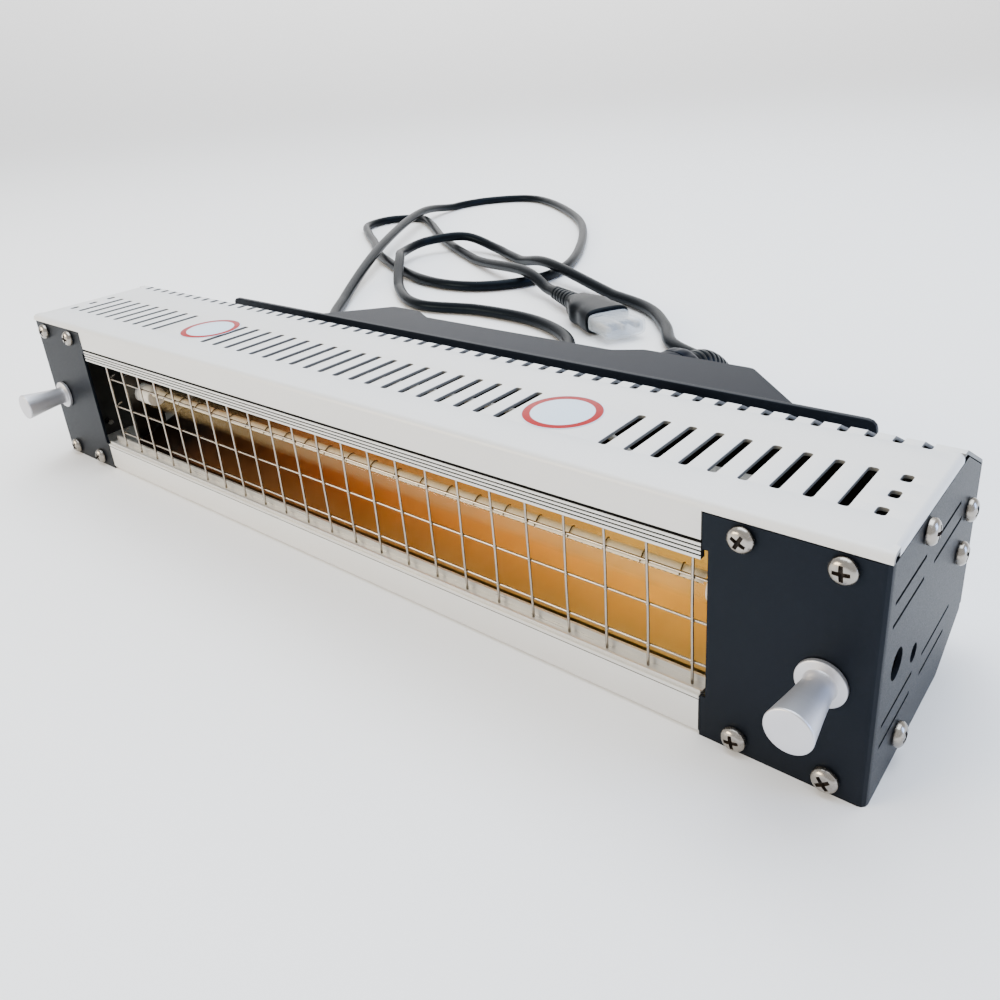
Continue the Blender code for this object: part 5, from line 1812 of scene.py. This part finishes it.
@dataclass
class HandleSet:
    """The moulded handle, its plate, the switch and the gland."""

    gland_x: float = 60.0
    gland_length: float = 17.0

    def gland(self, dresser: Dresser) -> None:
        """A dome nut on a collar: its radius ripples round the nut so that fingers can turn it.

        Args:
            dresser: Dresses the pieces and puts them on their bodies.
        """
        profile = np.array(
            [
                (4.1, 0.0), (10.4, 0.0), (11.3, 0.3), (11.5, 0.9), (11.5, 4.2), (11.3, 4.5), (10.6, 4.7),
                (10.6, 5.1), (11.3, 5.3), (11.5, 5.7), (11.4, 9.0), (11.0, 11.2), (10.2, 13.2),
                (9.0, 15.0), (7.6, 16.4), (6.9, 16.9), (6.6, 17.0), (4.1, 17.0),
            ]
        )
        points = turned_grid(profile, 120)
        angle = np.linspace(0, 2 * np.pi, 120, endpoint=False)
        nut = np.clip((profile[:, 1] - 5.2) / 0.8, 0, 1) * np.clip((14.5 - profile[:, 1]) / 3, 0, 1)
        ripple = 1 - 0.028 * nut[:, None] * (0.5 + 0.5 * np.cos(12 * angle))[None] ** 2
        points[..., :2] *= ripple[..., None]
        origin = (self.gland_x, LAYOUT.handle_reach + LAYOUT.gap, LAYOUT.middle)
        points = pose(points, Vector((0, 1, 0)), origin)
        gland = Shell().grid(points, close_columns=True, close_rows=True).build("gland_nut", smooth=32)
        dresser.piece(gland, HANDLE, "cord_gland")

    def build(self, dresser: Dresser) -> None:
        """Make all of it.

        Args:
            dresser: Dresses the pieces and puts them on their bodies.
        """
        dresser.refined("handle_upper_shell", HANDLE, 0.9, 3, 24)
        dresser.refined("handle_lower_shell", HANDLE, 0.9, 3, 24)
        dresser.refined("handle_plate", CAP, 0.3, 2)
        dresser.refined("switch_housing", HANDLE, 0.4, 2)
        dresser.refined("switch_rocker", HANDLE, 0.4, 3)
        self.gland(dresser)


# Cord


@dataclass
class MainsCord:
    """The cord on the floor, its strain relief, and the plug with its pins and clear cover."""

    radius: float = 3.8
    straight: float = 5.0
    gland_mouth: Place = (60.0, 154.6, 33.7)
    relief_points: tuple[Pair, ...] = (
        (0.0, 0.0), (5.0, 0.0), (15.0, -2.0), (24.5, -6.6), (32.5, -12.4),
    )
    plug_tip: Place = (-34.0, 256.0, 8.3)
    plug_direction: Place = (0.87, -0.49, 0.0)
    plug_body: Place = (42.0, 29.0, 16.0)
    plug_cover: Place = (22.0, 27.0, 11.0)
    plug_relief: float = 34.0
    route: tuple[Place, ...] = (
        (58.0, 204.0, 9.2), (47.0, 225.0, 4.6), (23.0, 240.0, 4.1), (-4.0, 256.0, 4.1),
        (-24.0, 283.0, 4.1), (-50.0, 309.0, 4.1), (-88.0, 327.0, 4.1), (-163.0, 355.0, 13.0),
        (-215.0, 385.0, 4.1), (-256.0, 405.0, 6.0), (-292.0, 406.0, 13.4), (-317.0, 383.0, 12.0),
        (-313.0, 350.0, 10.0), (-287.0, 321.0, 13.4), (-245.0, 278.0, 4.1), (-200.0, 252.0, 4.1),
        (-150.0, 260.0, 4.1), (-100.0, 256.0, 4.1), (-60.0, 234.0, 4.1), (-44.0, 199.0, 4.1),
        (-64.0, 168.0, 4.1), (-104.0, 162.0, 4.1), (-150.0, 170.0, 4.1), (-212.0, 188.0, 4.1),
        (-258.0, 234.0, 4.1), (-338.0, 348.0, 13.2), (-421.0, 482.0, 13.4), (-446.0, 560.0, 4.1),
        (-424.0, 612.0, 4.1), (-370.0, 622.0, 4.1), (-262.0, 537.0, 4.1), (-184.0, 421.0, 4.1),
        (-163.0, 350.0, 4.1), (-192.0, 307.0, 4.1), (-250.0, 306.0, 4.1), (-338.0, 348.0, 4.1),
        (-393.0, 390.0, 4.1), (-430.0, 417.0, 4.1), (-461.0, 445.0, 4.1), (-463.0, 478.0, 4.1),
        (-434.0, 494.0, 4.1), (-398.0, 473.0, 4.1), (-330.0, 420.0, 4.1),
        (-250.0, 371.0, 4.1), (-167.0, 329.0, 13.2),
    )

    def along(self) -> Points:
        """Unit direction from the cord into the plug."""
        direction = np.array(self.plug_direction)
        return direction / np.linalg.norm(direction)

    def relief_line(self) -> Points:
        """Middle line of the strain relief, from the gland's mouth to its thin end."""
        start = np.array(self.gland_mouth)
        return np.array([start + (0, back, down) for back, down in self.relief_points])

    def line(self) -> Points:
        """The cord's own line, from the strain relief's thin end to the plug's.

        Returns:
            Points along it, in order.
        """
        relief = self.relief_line()
        heading = relief[-1] - relief[-2]
        heading /= np.linalg.norm(heading)
        first = relief[-1] + heading * LAYOUT.gap
        back = self.plug_cover[0] + self.plug_body[0] + self.plug_relief + 2 * LAYOUT.gap
        end = np.array(self.plug_tip) - self.along() * back
        inner = np.array(self.route)
        route = np.concatenate(
            [
                [first + heading * self.straight],
                inner,
                [end - self.along() * 3 * self.straight, end - self.along() * self.straight],
            ]
        )
        curve = smooth_line(route, 3.0)
        curve[:, 2] = np.maximum(curve[:, 2], self.radius + LAYOUT.gap)
        return np.concatenate([[first], curve, [end]])

    def strain_relief(self, dresser: Dresser) -> bpy.types.Object:
        """Tapered sleeve whose radius steps in at each of its soft grooves.

        Args:
            dresser: Dresses the pieces and puts them on their bodies.

        Returns:
            The piece.
        """
        line = smooth_line(self.relief_line(), 0.4)
        share = np.linspace(0, 1, len(line))
        radius = 6.2 - 1.36 * share
        groove = 0.5 + 0.5 * np.cos(2 * np.pi * 8 * share)
        radius = radius - 0.55 * np.clip(groove - 0.55, 0, 1) / 0.45 * (share > 0.12) * (share < 0.97)
        sleeve = Shell().grid(capped(sweep_grid(line, radius, 32)), close_columns=True)
        return dresser.piece(sleeve.build("relief_sleeve", smooth=40), RUBBER, "strain_relief")

    def plug_points(
        self,
        stations: Points,
        wide: np.ndarray,
        tall: np.ndarray,
        power: float,
        sides: int = 64,
    ) -> Points:
        """Loft along the plug: each ring is a rounded rectangle, |y/a|^n + |z/b|^n = 1.

        Args:
            stations: Distances back from the cover's tip.
            wide: Half-widths.
            tall: Half-heights.
            power: The exponent n.
            sides: Points round each ring.

        Returns:
            Points of shape (rings, sides, 3).
        """
        angle = np.linspace(0, 2 * np.pi, sides, endpoint=False)
        cosine, sine = np.cos(angle), np.sin(angle)
        across = np.sign(cosine) * np.abs(cosine) ** (2 / power)
        rise = np.sign(sine) * np.abs(sine) ** (2 / power)
        forward = self.along()
        level = np.array([-forward[1], forward[0], 0.0])
        middle = np.array(self.plug_tip)[None] - stations[:, None] * forward[None]
        sideways = (wide[:, None] * across)[..., None] * level
        upwards = (tall[:, None] * rise)[..., None] * np.array([0, 0, 1.0])
        return middle[:, None] + sideways + upwards

    def plug(self, dresser: Dresser) -> list[bpy.types.Object]:
        """Moulded body with a waisted grip and ribbed tail, three pins, and the hollow cover.

        Args:
            dresser: Dresses the pieces and puts them on their bodies.

        Returns:
            The pieces that move with the plug.
        """
        cover, body = self.plug_cover, self.plug_body
        face = cover[0] + LAYOUT.gap
        rear = face + body[0]
        share = np.linspace(0, 1, 60)
        run = face + share * body[0]
        ends = np.sqrt(np.clip(1 - np.clip((1.5 - share * body[0]) / 1.5, 0, 1) ** 2, 0, 1))
        late = np.clip((share - 0.55) / 0.45, 0, 1)
        taper = 1 - 0.42 * late**2 * (3 - 2 * late)
        waist = 1 - 0.09 * np.exp(-(((share - 0.42) / 0.14) ** 2))
        wide = body[1] / 2 * taper * waist * (0.94 + 0.06 * ends)
        tall = body[2] / 2 * (1 - 0.12 * late**2) * (0.9 + 0.1 * ends)
        body_points = self.plug_points(run, wide, tall, 3.6)
        plug = Shell().grid(capped(body_points), close_columns=True)
        tail = np.linspace(0, 1, 90)
        groove = np.clip(0.5 + 0.5 * np.cos(2 * np.pi * 7 * tail) - 0.5, 0, 1) * 2
        radius = 6.6 - 2.0 * tail - 0.6 * groove * (tail > 0.08) * (tail < 0.96)
        stations = rear - 1 + tail * (self.plug_relief + 1)
        plug.grid(capped(self.plug_points(stations, radius, radius, 2.0, 40)), close_columns=True)
        pieces = [dresser.piece(plug.build("plug_moulding", smooth=40), RUBBER, "plug_body")]
        for offset, label in ((-9.5, "left"), (0.0, "middle"), (9.5, "right")):
            forward = self.along()
            level = np.array([-forward[1], forward[0], 0.0])
            origin = np.array(self.plug_tip) - forward * (face - 0.3) + level * offset
            points = pose(turned_grid(rounded_rod(19.0, 2.0, 0.9, 6), 28), Vector(forward), tuple(origin))
            pin = Shell().grid(points, close_columns=True).build(f"pin_{label}", smooth=40)
            pieces.append(dresser.piece(pin, BLADE, f"plug_pin_{label}"))
        pieces.append(self.cover(dresser))
        return pieces

    def cover(self, dresser: Dresser) -> bpy.types.Object:
        """Clear cover: an outer rounded box with a closed front, a flared rim, and an inner wall inside it.

        Args:
            dresser: Dresses the pieces and puts them on their bodies.

        Returns:
            The piece.
        """
        long, wide, tall = self.plug_cover
        arc = np.linspace(0, np.pi / 2, 7)
        corner = 1.6
        outer_in = np.concatenate([corner * (1 - np.cos(arc[::-1])), [0.4, 0.0, 0.0]])
        outer_run = np.concatenate([corner * (1 - np.sin(arc[::-1])), [long - 2.4, long - 1.9, long]])
        order = np.argsort(outer_run, kind="stable")
        outer_run, outer_in = outer_run[order], outer_in[order]
        inner_run = np.array([long, 2.6, 1.6, 1.2])
        inner_in = np.array([1.2, 1.2, 1.4, 2.4])
        run = np.concatenate([outer_run, inner_run])
        inset = np.concatenate([outer_in, inner_in])
        points = self.plug_points(run, wide / 2 - inset, tall / 2 - inset, 5.0, 72)
        shell = Shell().grid(capped(points), close_columns=True)
        return dresser.piece(shell.build("pin_cover_clear", smooth=40), CLEAR, "plug_pin_cover")

    def build(self, dresser: Dresser) -> None:
        """Args:
            dresser: Dresses the pieces and puts them on their bodies.
        """
        line = self.line()
        path = LAYOUT.place(line)
        tube = Shell().grid(capped(sweep_grid(line, self.radius, 18)), close_columns=True)
        cord = tube.build("mains_cord_tube", smooth=60)
        dresser.piece(cord, RUBBER, "mains_cord")
        on_it = [self.strain_relief(dresser), *self.plug(dresser)]


def main() -> None:
    """Build the studio, the cord, and then each sub-assembly in turn."""
    logging.basicConfig(level=logging.INFO, format="%(message)s")
    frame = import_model()
    dresser = Dresser(frame)
    Studio().build()
    MainsCord().build(dresser)
    Housing().build(dresser)
    EndFittings().build(dresser)
    Burner().build(dresser)
    HandleSet().build(dresser)
    dresser.rest(
        {
            "end_frame": STEEL,
            "lamp_holder": STEEL,
            "knob_screw": SCREW,
            "plate_bolt": SCREW,
            "handle_bolt": SCREW,
            "lamp_lead": SLEEVE,
            "terminal_block": CERAMIC,
            "plate_spacer": HANDLE,
            "inner_flex": RUBBER,
        }
    )


if __name__ == "__main__":
    main()
